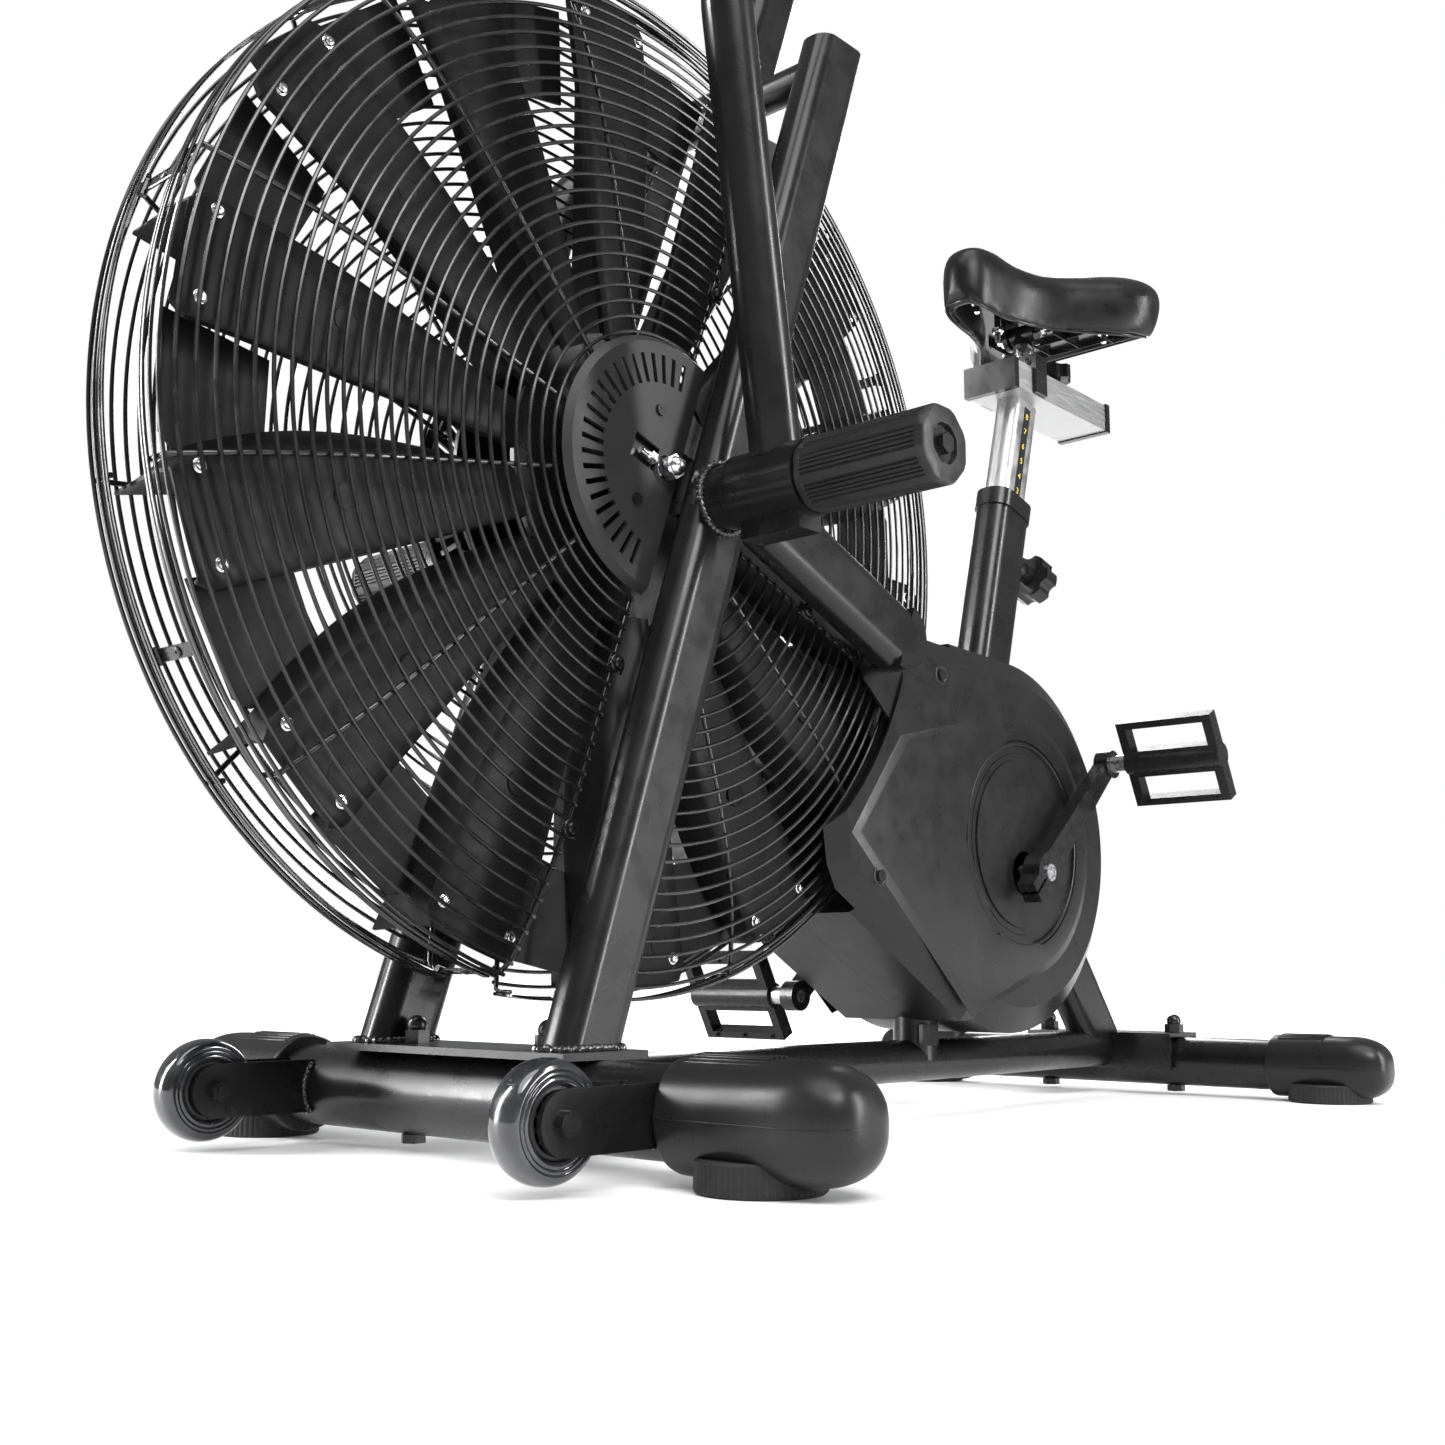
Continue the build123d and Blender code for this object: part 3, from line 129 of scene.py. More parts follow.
# ---- materials ----
class Surface:
    """A node material built step by step on a Principled shader."""

    def __init__(self, name, colour, rough, metal=0.0, coat=0.0, coat_rough=0.1, specular=0.5,
                 sheen=0.0):
        self.material = bpy.data.materials.new(name)
        self.material.use_nodes = True
        self.nodes = self.material.node_tree.nodes
        self.links = self.material.node_tree.links
        self.shader = self.nodes["Principled BSDF"]
        for socket, value in (("Base Color", (*colour, 1)), ("Roughness", rough),
                              ("Metallic", metal), ("Coat Weight", coat),
                              ("Coat Roughness", coat_rough), ("Specular IOR Level", specular),
                              ("Sheen Weight", sheen)):
            self.put(socket, value)
        self.place = self.nodes.new("ShaderNodeTexCoord").outputs["Object"]
        self.height = None

    def put(self, socket, value):
        """Sets one of the shader's own sockets."""
        self.shader.inputs[socket].default_value = value

    def node(self, kind, links=(), **values):
        """A new node, with input links (name, socket) and settings."""
        node = self.nodes.new(kind)
        for key, value in values.items():
            if key in node.inputs:
                node.inputs[key].default_value = value
            else:
                setattr(node, key, value)
        for name, socket in links:
            self.links.new(socket, node.inputs[name])
        return node

    def stretched(self, scale):
        """Object coordinates scaled by a vector, for brushed or drawn surfaces."""
        return self.node("ShaderNodeMapping", [("Vector", self.place)], Scale=scale).outputs[0]

    def noise(self, scale, detail=3.0, rough=0.55, place=None):
        """A noise texture's value."""
        node = self.node("ShaderNodeTexNoise", [("Vector", place or self.place)],
                         Scale=scale, Detail=detail, Roughness=rough)
        return node.outputs["Fac"]

    def cells(self, scale):
        """A Voronoi texture's distance."""
        node = self.node("ShaderNodeTexVoronoi", [("Vector", self.place)], Scale=scale)
        return node.outputs["Distance"]

    def ranged(self, value, low, high, start=0.35, end=0.65):
        """A value remapped from start..end to low..high."""
        node = self.node("ShaderNodeMapRange", [("Value", value)])
        for name, number in (("From Min", start), ("From Max", end), ("To Min", low),
                             ("To Max", high)):
            node.inputs[name].default_value = number
        return node.outputs["Result"]

    def tint(self, value, dark, light, start=0.35, end=0.65):
        """Blends the base colour between two colours by a value."""
        ramp = self.nodes.new("ShaderNodeValToRGB")
        ramp.color_ramp.elements[0].position, ramp.color_ramp.elements[1].position = start, end
        ramp.color_ramp.elements[0].color = (*dark, 1)
        ramp.color_ramp.elements[1].color = (*light, 1)
        self.links.new(value, ramp.inputs["Fac"])
        self.links.new(ramp.outputs["Color"], self.shader.inputs["Base Color"])
        return self

    def roughen(self, value, low, high, start=0.35, end=0.65):
        """Varies the roughness between two values."""
        self.links.new(self.ranged(value, low, high, start, end), self.shader.inputs["Roughness"])
        return self

    def bump(self, value, distance, strength=1.0):
        """Adds a bump of a height in millimetres to those before it."""
        node = self.node("ShaderNodeBump", [("Height", value)], Strength=strength,
                         Distance=distance * MM)
        if self.height:
            self.links.new(self.height, node.inputs["Normal"])
        self.height = node.outputs["Normal"]
        self.links.new(self.height, self.shader.inputs["Normal"])
        return self


def finish(name, colour, rough, tint, roughness, bumps, **settings):
    """A finish made of noises, each given as (scale, detail, roughness), or (scale,) for cells.
    tint is a noise, two colours and its range; roughness a noise, two values and its range; bumps
    are noises with a height in millimetres and a strength."""
    s = Surface(name, colour, rough, **settings)
    texture = lambda noise: s.noise(*noise) if len(noise) > 1 else s.cells(*noise)
    s.tint(texture(tint[0]), *tint[1:])
    if roughness:
        s.roughen(texture(roughness[0]), *roughness[1:])
    for noise, height, strength in bumps:
        s.bump(texture(noise), height, strength)
    return s.material


def cover_plastic(name, shade, rough, grain=1500, scuff=0.5):
    """Moulded plastic: fine spark-eroded grain, light scuffs and dust."""
    s = Surface(name, (shade, shade * 0.96, shade * 0.95), rough, specular=0.26)
    marks = s.noise(26, 8, 0.72, s.stretched((1.0, 0.6, 2.4)))
    s.tint(marks, tuple(shade * k for k in (0.88, 0.84, 0.84)),
           tuple(shade * k for k in (1.26, 1.19, 1.17)), 0.28, 0.78)
    s.roughen(s.noise(48, 6, 0.66), rough - 0.07 * scuff, rough + 0.12 * scuff)
    s.bump(s.noise(grain, 2), 0.03, 0.5)
    return s.bump(s.noise(11, 2), 0.25, 0.12).material


def rubber(name, shade, rough, grain):
    """Moulded rubber with a dusty bloom."""
    return finish(name, (shade,) * 3, rough,
                  ((21, 7, 0.7), (shade * 0.75,) * 3, (shade * 1.55,) * 3, 0.3, 0.75),
                  ((75, 4), rough - 0.08, rough + 0.12), [((grain, 3), 0.04, 0.6)], specular=0.3)


def plated(name, shade, rough):
    """Bright plated or polished metal with cloudy passivation."""
    clean, cloudy = ((k, k, k * 1.02) for k in (shade, shade * 0.82))
    return finish(name, clean, rough, ((140, 4), cloudy, clean),
                  ((300, 4), rough * 0.7, rough * 1.5), [((1500, 2), 0.01, 0.5)], metal=1.0)


def brushed(name, shade, rough, scale):
    """Drawn aluminium: fine lines along the length and a satin sheen."""
    s = Surface(name, (shade, shade, shade * 1.01), rough, metal=1.0)
    lines = s.noise(1.0, 4, 0.6, s.stretched(scale))
    s.tint(lines, (shade * 0.86,) * 3, (min(1.0, shade * 1.06),) * 3, 0.3, 0.7)
    s.roughen(lines, rough - 0.07, rough + 0.1)
    return s.bump(lines, 0.02, 0.5).material


def black_oxide():
    """Black-finished fasteners and cranks."""
    return finish("black_oxide", (0.008, 0.008, 0.0085), 0.25,
                  ((90, 5), (0.007, 0.007, 0.0074), (0.014, 0.0138, 0.0136), 0.4, 0.85),
                  ((110, 4), 0.22, 0.32), [((1300, 2), 0.006, 0.4)],
                  coat=0.15, coat_rough=0.15, specular=0.35)


def blade_paint():
    """The blades' dark satin paint, smeared with pale dust."""
    s = Surface("blade_paint", (0.006, 0.006, 0.007), 0.4, specular=0.1)
    smear = s.noise(13, 8, 0.72, s.stretched((1.0, 1.6, 0.8)))
    s.tint(smear, (0.005, 0.005, 0.0056), (0.02, 0.019, 0.0185), 0.45, 0.85)
    s.roughen(s.noise(42, 7, 0.7), 0.34, 0.5)
    s.bump(s.noise(17, 2), 0.5, 0.16)
    return s.bump(s.noise(760, 2), 0.02, 0.5).material


def belt_rubber():
    """The poly-V belt's ribbed rubber."""
    s = Surface("belt_rubber", (0.013, 0.013, 0.013), 0.5)
    ribs = s.node("ShaderNodeTexWave", [("Vector", s.place)], Scale=105.0, bands_direction="Y")
    s.tint(s.noise(80, 4), (0.01,) * 3, (0.02,) * 3)
    return s.bump(ribs.outputs["Fac"], 0.4, 0.7).material


def glass_screen():
    """A dark display window with the faint cells of a blank liquid-crystal panel."""
    s = Surface("screen", (0.02, 0.024, 0.024), 0.08, coat=1.0, coat_rough=0.03)
    s.tint(s.cells(480), (0.016, 0.02, 0.02), (0.03, 0.036, 0.034), 0.1, 0.6)
    return s.roughen(s.noise(40, 3), 0.05, 0.14).material


LOOKS = {
    "black_steel": finish(              # satin powder coat with faint pale specks
        "powder_coat", (0.007, 0.007, 0.0075), 0.27,
        ((310,), (0.05, 0.047, 0.043), (0.0073, 0.0068, 0.0067), 0.02, 0.075),
        ((30, 5, 0.6), 0.23, 0.34), [((620, 2, 0.5), 0.02, 0.45), ((2400, 1), 0.006, 0.5)],
        coat=0.12, coat_rough=0.16, specular=0.3),
    "wire": finish(                     # glossy dipped wire
        "wire_paint", (0.008, 0.008, 0.0085), 0.26,
        ((14, 4), (0.006, 0.006, 0.0065), (0.013, 0.013, 0.0135)), ((55, 3), 0.18, 0.34),
        [((900, 2), 0.02, 0.5)], coat=0.2, coat_rough=0.12, specular=0.4),
    "fasteners": black_oxide(),
    "rubber": cover_plastic("boot_plastic", 0.014, 0.3, 1200),
    "foot_rubber": rubber("foot_rubber", 0.022, 0.62, 1100),
    "peg_rubber": rubber("peg_rubber", 0.014, 0.4, 800),
    "tyre": finish(                     # glossy dark urethane, a little cloudy with wear
        "urethane", (0.018, 0.019, 0.022), 0.14,
        ((60, 5, 0.6), (0.012, 0.0125, 0.015), (0.035, 0.036, 0.042), 0.35, 0.8),
        ((120, 5), 0.1, 0.3, 0.4, 0.75), [((420, 3), 0.02, 0.5)], coat=0.8, coat_rough=0.06),
    "hub_plastic": cover_plastic("hub_plastic", 0.02, 0.38),
    "cover_plastic": cover_plastic("cover_plastic", 0.0105, 0.3),
    "hub_cover_plastic": cover_plastic("hub_cover_plastic", 0.02, 0.42, 1300),
    "knob_plastic": cover_plastic("knob_plastic", 0.011, 0.16, 900, 0.3),
    "blade": blade_paint(),
    "zinc": plated("zinc", 0.82, 0.2),
    "steel": plated("steel", 0.6, 0.28),
    "aluminium": brushed("aluminium", 0.4, 0.4, (60.0, 900.0, 60.0)),
    "rail_aluminium": brushed("rail_aluminium", 0.4, 0.42, (25.0, 900.0, 900.0)),
    "belt": belt_rubber(),
    "crank_black": black_oxide(),
    "pedal_plastic": cover_plastic("pedal_plastic", 0.013, 0.26, 1000),
    "vinyl": finish(                    # soft-gloss vinyl with a fine leather grain
        "vinyl", (0.004, 0.0038, 0.0037), 0.3,
        ((30, 5), (0.0045, 0.0043, 0.0042), (0.0075, 0.0072, 0.007)), ((60, 5), 0.26, 0.38),
        [((1150,), 0.06, 0.35), ((900, 3), 0.03, 0.35)], coat=0.03, coat_rough=0.25,
        specular=0.2, sheen=0.02),
    "grip_foam": finish(                # closed-cell foam
        "foam", (0.014, 0.014, 0.0145), 0.75,
        ((300, 4), (0.01, 0.01, 0.0105), (0.024, 0.024, 0.025)), ((500, 3), 0.66, 0.85),
        [((900,), 0.12, 0.7)]),
    "nylon": cover_plastic("nylon", 0.09, 0.4),
    "screen": glass_screen(),
    "ink": finish(                      # the printed scale figures
        "scale_ink", (0.75, 0.55, 0.04), 0.45,
        ((700, 3), (0.6, 0.42, 0.03), (0.85, 0.64, 0.06)), None, []),
    "weld": finish(                     # painted weld bead, glossier than the tubes
        "weld_paint", (0.011, 0.011, 0.0115), 0.2,
        ((260, 4), (0.01, 0.01, 0.0105), (0.03, 0.029, 0.029), 0.35, 0.8),
        ((300, 3), 0.14, 0.3), [((700, 3), 0.08, 0.6)], coat=0.4, coat_rough=0.1),
    "strip": cover_plastic("strip", 0.012, 0.35, 1400),
}


# ---- mesh helpers ----
def soften(obj, angle):
    """Smooth shading, with edges sharper than an angle kept sharp."""
    for face in obj.data.polygons:
        face.use_smooth = True
    obj.data.set_sharp_from_angle(angle=math.radians(angle))


class Shape:
    """Vertices and faces of several simple forms, gathered into one piece."""

    def __init__(self):
        self.verts, self.faces = [], []

    def rings(self, rows, closed=False, capped=True):
        """Joins rows of equally many points into a skin; closed joins last to first."""
        count, first = len(rows[0]), len(self.verts)
        self.verts += [Vector(v) for row in rows for v in row]
        spans = len(rows) if closed else len(rows) - 1
        for row in range(spans):
            here, there = first + row * count, first + (row + 1) % len(rows) * count
            for i in range(count):
                j = (i + 1) % count
                self.faces.append((here + i, here + j, there + j, there + i))
        if capped and not closed:
            self.faces.append(tuple(first + i for i in reversed(range(count))))
            last = first + (len(rows) - 1) * count
            self.faces.append(tuple(last + i for i in range(count)))
        return self

    def tube(self, points, radius, sides=8, closed=False, ripple=None):
        """A round wire or bead along points. ripple(i) scales its radius at point i."""
        points = [Vector(p) for p in points]
        count, rows, across = len(points), [], None
        for i, point in enumerate(points):
            before = points[i - 1] if i or closed else point
            after = points[(i + 1) % count] if i + 1 < count or closed else point
            along = (after - before).normalized()
            if across is None:
                across = along.orthogonal().normalized()
            across = (across - along * across.dot(along)).normalized()
            other = along.cross(across)
            r = radius * (ripple(i) if ripple else 1.0)
            rows.append([point + (across * math.cos(a) + other * math.sin(a)) * r
                         for a in turns(sides)])
        return self.rings(rows, closed)

    def lathe(self, origin, axis, profile, sides=32):
        """A form turned about an axis: profile is (distance along, radius) pairs."""
        axis = Vector(axis).normalized()
        return self.rings([ring_points(Vector(origin) + axis * along, axis, max(radius, 0.01),
                                       turns(sides)) for along, radius in profile])

    def box(self, middle, axes, sizes, bevel=0.0):
        """A box on three unit axes, its long edges cut back by a bevel."""
        a, b, c = (Vector(axis) for axis in axes)
        half = [size / 2 for size in sizes]
        outline = [(-1, -1), (1, -1), (1, 1), (-1, 1)]
        corners = []
        for sx, sy in outline:
            for first in ((0, 1) if sx * sy > 0 else (1, 0)):
                cut = (bevel, 0) if first == 0 else (0, bevel)
                corners.append((sx * (half[0] - cut[0]), sy * (half[1] - cut[1])))
        rows = []
        for along, shrink in ((-half[2], bevel), (-half[2] + bevel, 0), (half[2] - bevel, 0),
                              (half[2], bevel)):
            scale_x, scale_y = (half[0] - shrink) / half[0], (half[1] - shrink) / half[1]
            rows.append([Vector(middle) + a * x * scale_x + b * y * scale_y + c * along
                         for x, y in corners])
        return self.rings(rows)

    def bolt(self, at, axis, radius, height):
        """A domed screw head with a crosshead dimple."""
        return self.lathe(at, axis, [(0, radius), (height * 0.55, radius),
                                     (height * 0.88, radius * 0.84), (height, radius * 0.55),
                                     (height, radius * 0.3), (height * 0.6, radius * 0.22)], 20)

    def hexagon(self, at, axis, across, height):
        """A chamfered hexagonal nut or head."""
        axis, corner = Vector(axis).normalized(), across / math.sqrt(3)
        return self.rings([ring_points(Vector(at) + axis * along, axis, corner * scale, turns(6))
                           for along, scale in ((0, 0.94), (height * 0.12, 1.0),
                                                (height * 0.84, 1.0), (height, 0.9))])

    def build(self, name, look, body, smooth=35.0, slot=None, replaces=None):
        """Makes the gathered forms one piece riding on a CAD body, with the look's material; the
        slot argument is not used. It may stand for a CAD node."""
        mesh = bpy.data.meshes.new(name)
        mesh.from_pydata([v * MM for v in self.verts], [], self.faces)
        mesh.validate()
        tidy = bmesh.new()
        tidy.from_mesh(mesh)
        bmesh.ops.recalc_face_normals(tidy, faces=tidy.faces)
        tidy.to_mesh(mesh)
        tidy.free()
        mesh.materials.append(LOOKS[look])
        obj = linked(name, mesh)
        soften(obj, smooth)
        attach(obj, body)
        if replaces:
            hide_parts(replaces)
        return obj


def smoothstep(value):
    """0 to 1, easing in and out."""
    value = min(1.0, max(0.0, value))
    return value * value * (3 - 2 * value)


# ---- fan cage ----
CAGE_R, FACE_Y, RIM_Y, WIRE_R, SPOKE_R = 392.6, 68.0, 24.0, 1.45, 1.9
RING_PITCH, FIRST_RING = 11.6, 105.0
LEG_FRONT, LEG_BACK = -8.0, -71.0         # section edges, ahead of the axle and square to the leg
BEAM_AT = math.radians(203.0)
BEAM_LOW, BEAM_HIGH = 3.0, 63.0           # section edges either side of the beam
BEAM_ALONG, BEAM_UP = ray(BEAM_AT), ray(BEAM_AT - math.pi / 2)


def dome(radius):
    """How far out from the centre plane the domed cage lies at a radius."""
    return FACE_Y - 27.0 * max(0.0, (radius - 200.0) / 192.0) ** 3


def ring_stations():
    """(radius, y) of every ring: evenly pitched over the dome, then round the rim."""
    stations, radius = [], FIRST_RING
    while radius < CAGE_R - 5.5:
        stations.append((radius, dome(radius)))
        slope = (dome(radius + 1) - dome(radius))
        radius += RING_PITCH / math.hypot(1, slope)
    rim = CAGE_R - 1.6
    return stations + [(rim - 1.5, 41.0), (rim - 0.4, 33.0), (rim, RIM_Y + 1.5), (rim, RIM_Y - 2)]


def on_axle(radius, angle, y):
    """A point about the fan axle; the angle runs from forward towards up."""
    return AXLE + ray(angle) * radius + SIDE * y


def section_arcs(radius):
    """The angle ranges of the three cage sections at a ring's radius."""
    front = math.acos(max(-1, LEG_FRONT / radius))
    back = math.acos(max(-1, LEG_BACK / radius))
    low = BEAM_AT + math.asin(BEAM_LOW / radius)
    high = BEAM_AT - math.asin(min(1, BEAM_HIGH / radius))
    return {"front": (LEAN - front, LEAN + front), "lower": (low, LEAN + math.tau - back),
            "upper": (LEAN + back, high)}


SPOKES = [math.degrees(LEAN) + k * 29.5 for k in (-2, -1, 0, 1, 2)] + [
    223.0, 253.0, 158.0, 131.0]         # the front section's, then the lower and upper ones'


def spoke_path(angle):
    """A radial wire just under the rings, from the hub to the rim."""
    stations = [(r, y) for r, y in ring_stations() if r <= CAGE_R - 4]
    drop = WIRE_R + SPOKE_R - 0.3
    path = [on_axle(FIRST_RING - 6, angle, FACE_Y - drop)]
    path += [on_axle(r, angle, y - drop) for r, y in stations]
    path += [on_axle(CAGE_R - 5.0, angle, 40.0), on_axle(CAGE_R - 4.6, angle, 33.0)]
    return path + [on_axle(CAGE_R - 4.4, angle, RIM_Y - 2)]


def edge_path(offset, normal, along):
    """A straight edge wire on the dome, at an offset from the axle."""
    points, steps, limit = [], 24, CAGE_R - 4.5
    start = math.sqrt(FIRST_RING ** 2 - offset ** 2)
    for i in range(steps + 1):
        flat = normal * offset + along * (start + (CAGE_R - start) * i / steps)
        if flat.length < limit:
            points.append(AXLE + flat + SIDE * (dome(flat.length) - WIRE_R - SPOKE_R + 0.3))
    tail = points[-1] - AXLE
    flat = Vector((tail.x, 0, tail.z)).normalized() * limit
    return points + [AXLE + flat + SIDE * 36.0, AXLE + flat + SIDE * RIM_Y]


def cage_wires(side):
    """All the wire of one side's cage as one shape; side is 1 on the rider's left."""
    wires = Shape()
    for radius, y in ring_stations():
        arcs = section_arcs(radius)
        if radius > CAGE_R - 3:
            arcs = {"front": arcs["front"], "rear": (arcs["lower"][0] - 0.2, arcs["lower"][1]),
                    "upper": arcs["upper"]}
        for start, end in arcs.values():
            if end - start < 0.08:
                continue
            steps = max(6, int((end - start) * (14 + radius / 9)))
            path = [on_axle(radius, start + (end - start) * i / steps, y)
                    for i in range(steps + 1)]
            if radius <= CAGE_R - 6:
                bend = SIDE * 2.6
                path.insert(0, path[0] + (path[0] - path[1]).normalized() * 2.4 - bend)
                path.append(path[-1] + (path[-1] - path[-2]).normalized() * 2.4 - bend)
            wires.tube(path, WIRE_R, 7)
    paths = [spoke_path(math.radians(angle)) for angle in SPOKES]
    paths += [edge_path(offset, AHEAD, UP * way) for offset in (LEG_FRONT, LEG_BACK)
              for way in (1, -1)]
    paths += [edge_path(offset, BEAM_UP, BEAM_ALONG) for offset in (-BEAM_LOW, BEAM_HIGH)]
    for path in paths:
        wires.tube(path, SPOKE_R, 8)
    limit = box_mm("left_cage")[1].x - AXLE.x - 0.05
    for vert in wires.verts:
        reach = math.hypot(vert.x - AXLE.x, vert.z - AXLE.z)
        if reach > limit:
            vert.x = AXLE.x + (vert.x - AXLE.x) * limit / reach
            vert.z = AXLE.z + (vert.z - AXLE.z) * limit / reach
        vert.y *= side
    return wires


def cage_tabs(side):
    """The tabs and crosshead screws that fix the cage's edges to the frame."""
    tabs = Shape()
    places = [(LEG_FRONT, -1, 158), (LEG_FRONT, -1, 285), (LEG_BACK, -1, 275), (LEG_BACK, -1, 150),
              (LEG_FRONT, 1, 170), (LEG_FRONT, 1, 300), (LEG_BACK, 1, 200), (LEG_BACK, 1, 300)]
    spots = [AHEAD * offset + UP * way * reach for offset, way, reach in places]
    spots += [BEAM_UP * offset + BEAM_ALONG * 190 for offset in (-4, 64)]
    for flat in spots:
        y = dome(flat.length) + WIRE_R + 0.3
        middle = AXLE + flat + SIDE * (y + 0.9)
        tabs.lathe(middle - SIDE * 3.2, SIDE, [(0, 6.0), (0.4, 6.8), (4.0, 6.8), (4.6, 6.2)], 20)
        tabs.bolt(middle + SIDE * 1.4, SIDE, 4.2, 2.8)
        tabs.box(middle - SIDE * 1.6, (AHEAD, UP, SIDE), (16, 11, 2.0), 0.5)
    for vert in tabs.verts:
        vert.y *= side
    return tabs


def rim_clips():
    """The clips round the rim that join the two cage halves, each with a screw."""
    clips = Shape()
    for step in range(8):
        angle = LEAN + step * math.tau / 8 - 0.02
        out = ray(angle)
        across = out.cross(SIDE)
        at = AXLE + out * (CAGE_R - 5.6)
        if at.x < CAP.x + 260 and at.z < CRANK.z + 260:
            continue
        clips.box(at, (across, out, SIDE), (9, 2.0, 2 * RIM_Y + 6), 0.6)
        for y in (-RIM_Y, RIM_Y):
            clips.tube([at + SIDE * y - across * 6, at + SIDE * y + across * 6], 2.7, 10)
        clips.bolt(at - out * 0.6, out, 3.6, 2.6)
    return clips


def build_cage():
    """Both cage halves as full wire, with tabs, screws and rim clips."""
    for side, word in SIDES:
        cage_wires(side).build(f"{word}_cage_wires", "wire", "frame", 50,
                               replaces=f"{word}_cage")
        cage_tabs(side).build(f"{word}_cage_screws", "fasteners", "frame")
    rim_clips().build("rim_clips", "fasteners", "frame")


# ---- fan blades ----
BLADES, BLADE_IN, BLADE_OUT, FIRST_BLADE, SHEET = 14, 106.0, 381.0, -16.0, 1.1
END_PLATE = ((-36.0, 296.0), (-36.0, 372.0), (-112.0, 362.0), (-120.0, 352.0), (-112.0, 300.0),
             (-100.0, 292.0))           # the flat plate behind each blade: tangential, radius


def blade_outline(share):
    """The blade's bent section at a share of its length, as (tangential, y) points."""
    scale = 0.4 + 0.62 * share
    swell = 10.0 * math.sin(math.pi * share ** 1.25)
    lens = 0.12 + 0.88 * math.sin(math.pi * min(1.0, share * 0.98 + 0.01)) ** 0.75
    round_in = 7.0 * max(0.0, (share - 0.96) / 0.04) ** 2
    low, high = -47 * scale + round_in, 32 * scale + swell - round_in
    face = [(low - 0.5, 31.0), (low + 0.6, 34.6), (low + 3.0, 36.0)]
    face += [(low + 3.0 + (high - low - 3.0) * k / 8, 36.0 - 4.0 * (k / 8) ** 2)
             for k in range(1, 9)]
    lip = [(high + 1.0, 31.4), (high + 8.0 * lens, 25.0 - 3 * lens),
           (high + 14.5 * lens, 19.0 - 6 * lens), (high + 15.5 * lens, 17.0 - 7 * lens)]
    back_end, top, turn = 24 * scale, high + 15.5 * lens, 17.0 - 7 * lens
    paddle = [(top + (back_end - top) * k / 6, turn - (turn + 34.0) * k / 6)
              for k in range(1, 7)]
    return face + lip + paddle


def blade_mesh(blade, centre_angle):
    """Adds one bent sheet blade, as a skin of two sides, to a shape."""
    steps, out, along = 26, ray(centre_angle), ray(centre_angle + math.pi / 2)
    rows = []
    for share in (i / steps for i in range(steps + 1)):
        line = blade_outline(share)
        reach = BLADE_IN + (BLADE_OUT - BLADE_IN) * share
        near, far = [], []
        for i, (t, y) in enumerate(line):
            before, after = line[max(i - 1, 0)], line[min(i + 1, len(line) - 1)]
            run = Vector((after[0] - before[0], after[1] - before[1])).normalized()
            normal = Vector((-run.y, run.x))
            for half, sign in ((near, 1), (far, -1)):
                p, q = t + normal.x * SHEET * sign, y + normal.y * SHEET * sign
                sag = math.sqrt(max(reach * reach - p * p, 1.0)) if share > 0.9 else reach
                half.append(AXLE + out * sag + along * p + SIDE * q)
        rows.append(near + far[::-1])
    blade.rings(rows)
    blade.rings([[AXLE + out * math.sqrt(r * r - t * t * 0.35) + along * t + SIDE * y
                  for t, r in END_PLATE] for y in (11.0, 9.0)])


def build_blades():
    """The fan's blades, their pressed bosses and the plated screws at their outer ends."""
    blades, screws, bosses = Shape(), Shape(), Shape()
    for index in range(BLADES):
        angle = math.radians(FIRST_BLADE - index * 360 / BLADES)
        blade_mesh(blades, angle)
        out, along = ray(angle), ray(angle + math.pi / 2)
        for t, reach in ((27.0, 362.0), (-33.0, 362.0)):
            y = 34.3 if t > 0 else 36.8
            at = AXLE + out * reach + along * t + SIDE * y
            screws.lathe(at - SIDE * 0.4, SIDE, [(0, 4.6), (1.0, 4.6), (1.2, 4.2)], 20)
            screws.bolt(at + SIDE * 0.6, SIDE, 3.4, 2.8)
        for t, reach in ((-20.0, 352.0), (2.0, 262.0)):
            bosses.lathe(AXLE + out * reach + along * t + SIDE * 36.2, SIDE,
                         [(0, 9.5), (0.7, 9.2), (0.7, 8.2), (0.2, 8.0)], 28)
    blades.build("fan_blade_sheets", "blade", "fan", 32, replaces="fan_blades")
    screws.build("blade_screws", "zinc", "fan")
    bosses.build("blade_bosses", "blade", "fan")


# ---- foot pegs ----
PEG_START, PEG_FLAT = 200.0, 26.5       # the inner end's y, half the width across flats


def peg_radius(angle, grooved):
    """The peg's rounded-octagon radius, with a group of grooves on each broad flat."""
    part = (angle + math.pi / 8) % (math.pi / 4) - math.pi / 8
    flat = PEG_FLAT / math.cos(part)
    radius = min(flat, PEG_FLAT * 1.035)
    if grooved and abs(part) < math.radians(17.5):
        wave = math.cos(part * math.tau / math.radians(7.0))
        radius -= 1.7 * smoothstep((wave + 0.1) * 1.6)
    return radius


def build_pegs():
    """The two ribbed rubber foot pegs, with washer recess and domed ends."""
    stations = [(0, 0.90, 0), (0.8, 0.97, 0), (2.2, 1.0, 0), (6, 1.0, 0), (7.2, 1.0, 1),
                (101, 1.0, 1), (102.2, 1.0, 0), (106, 1.0, 0), (108.2, 0.96, 0), (109, 0.9, 0),
                (109, 0.52, 0), (105.4, 0.5, 0)]
    for side, word in SIDES:
        rows = [[PEG + ray(a) * peg_radius(a, grooved) * scale
                 + SIDE * side * (PEG_START + along) for a in turns(288)]
                for along, scale, grooved in stations]
        Shape().rings(rows).build(f"{word}_foot_peg", "peg_rubber", "frame", 28,
                                  replaces="foot_pegs" if side > 0 else None)


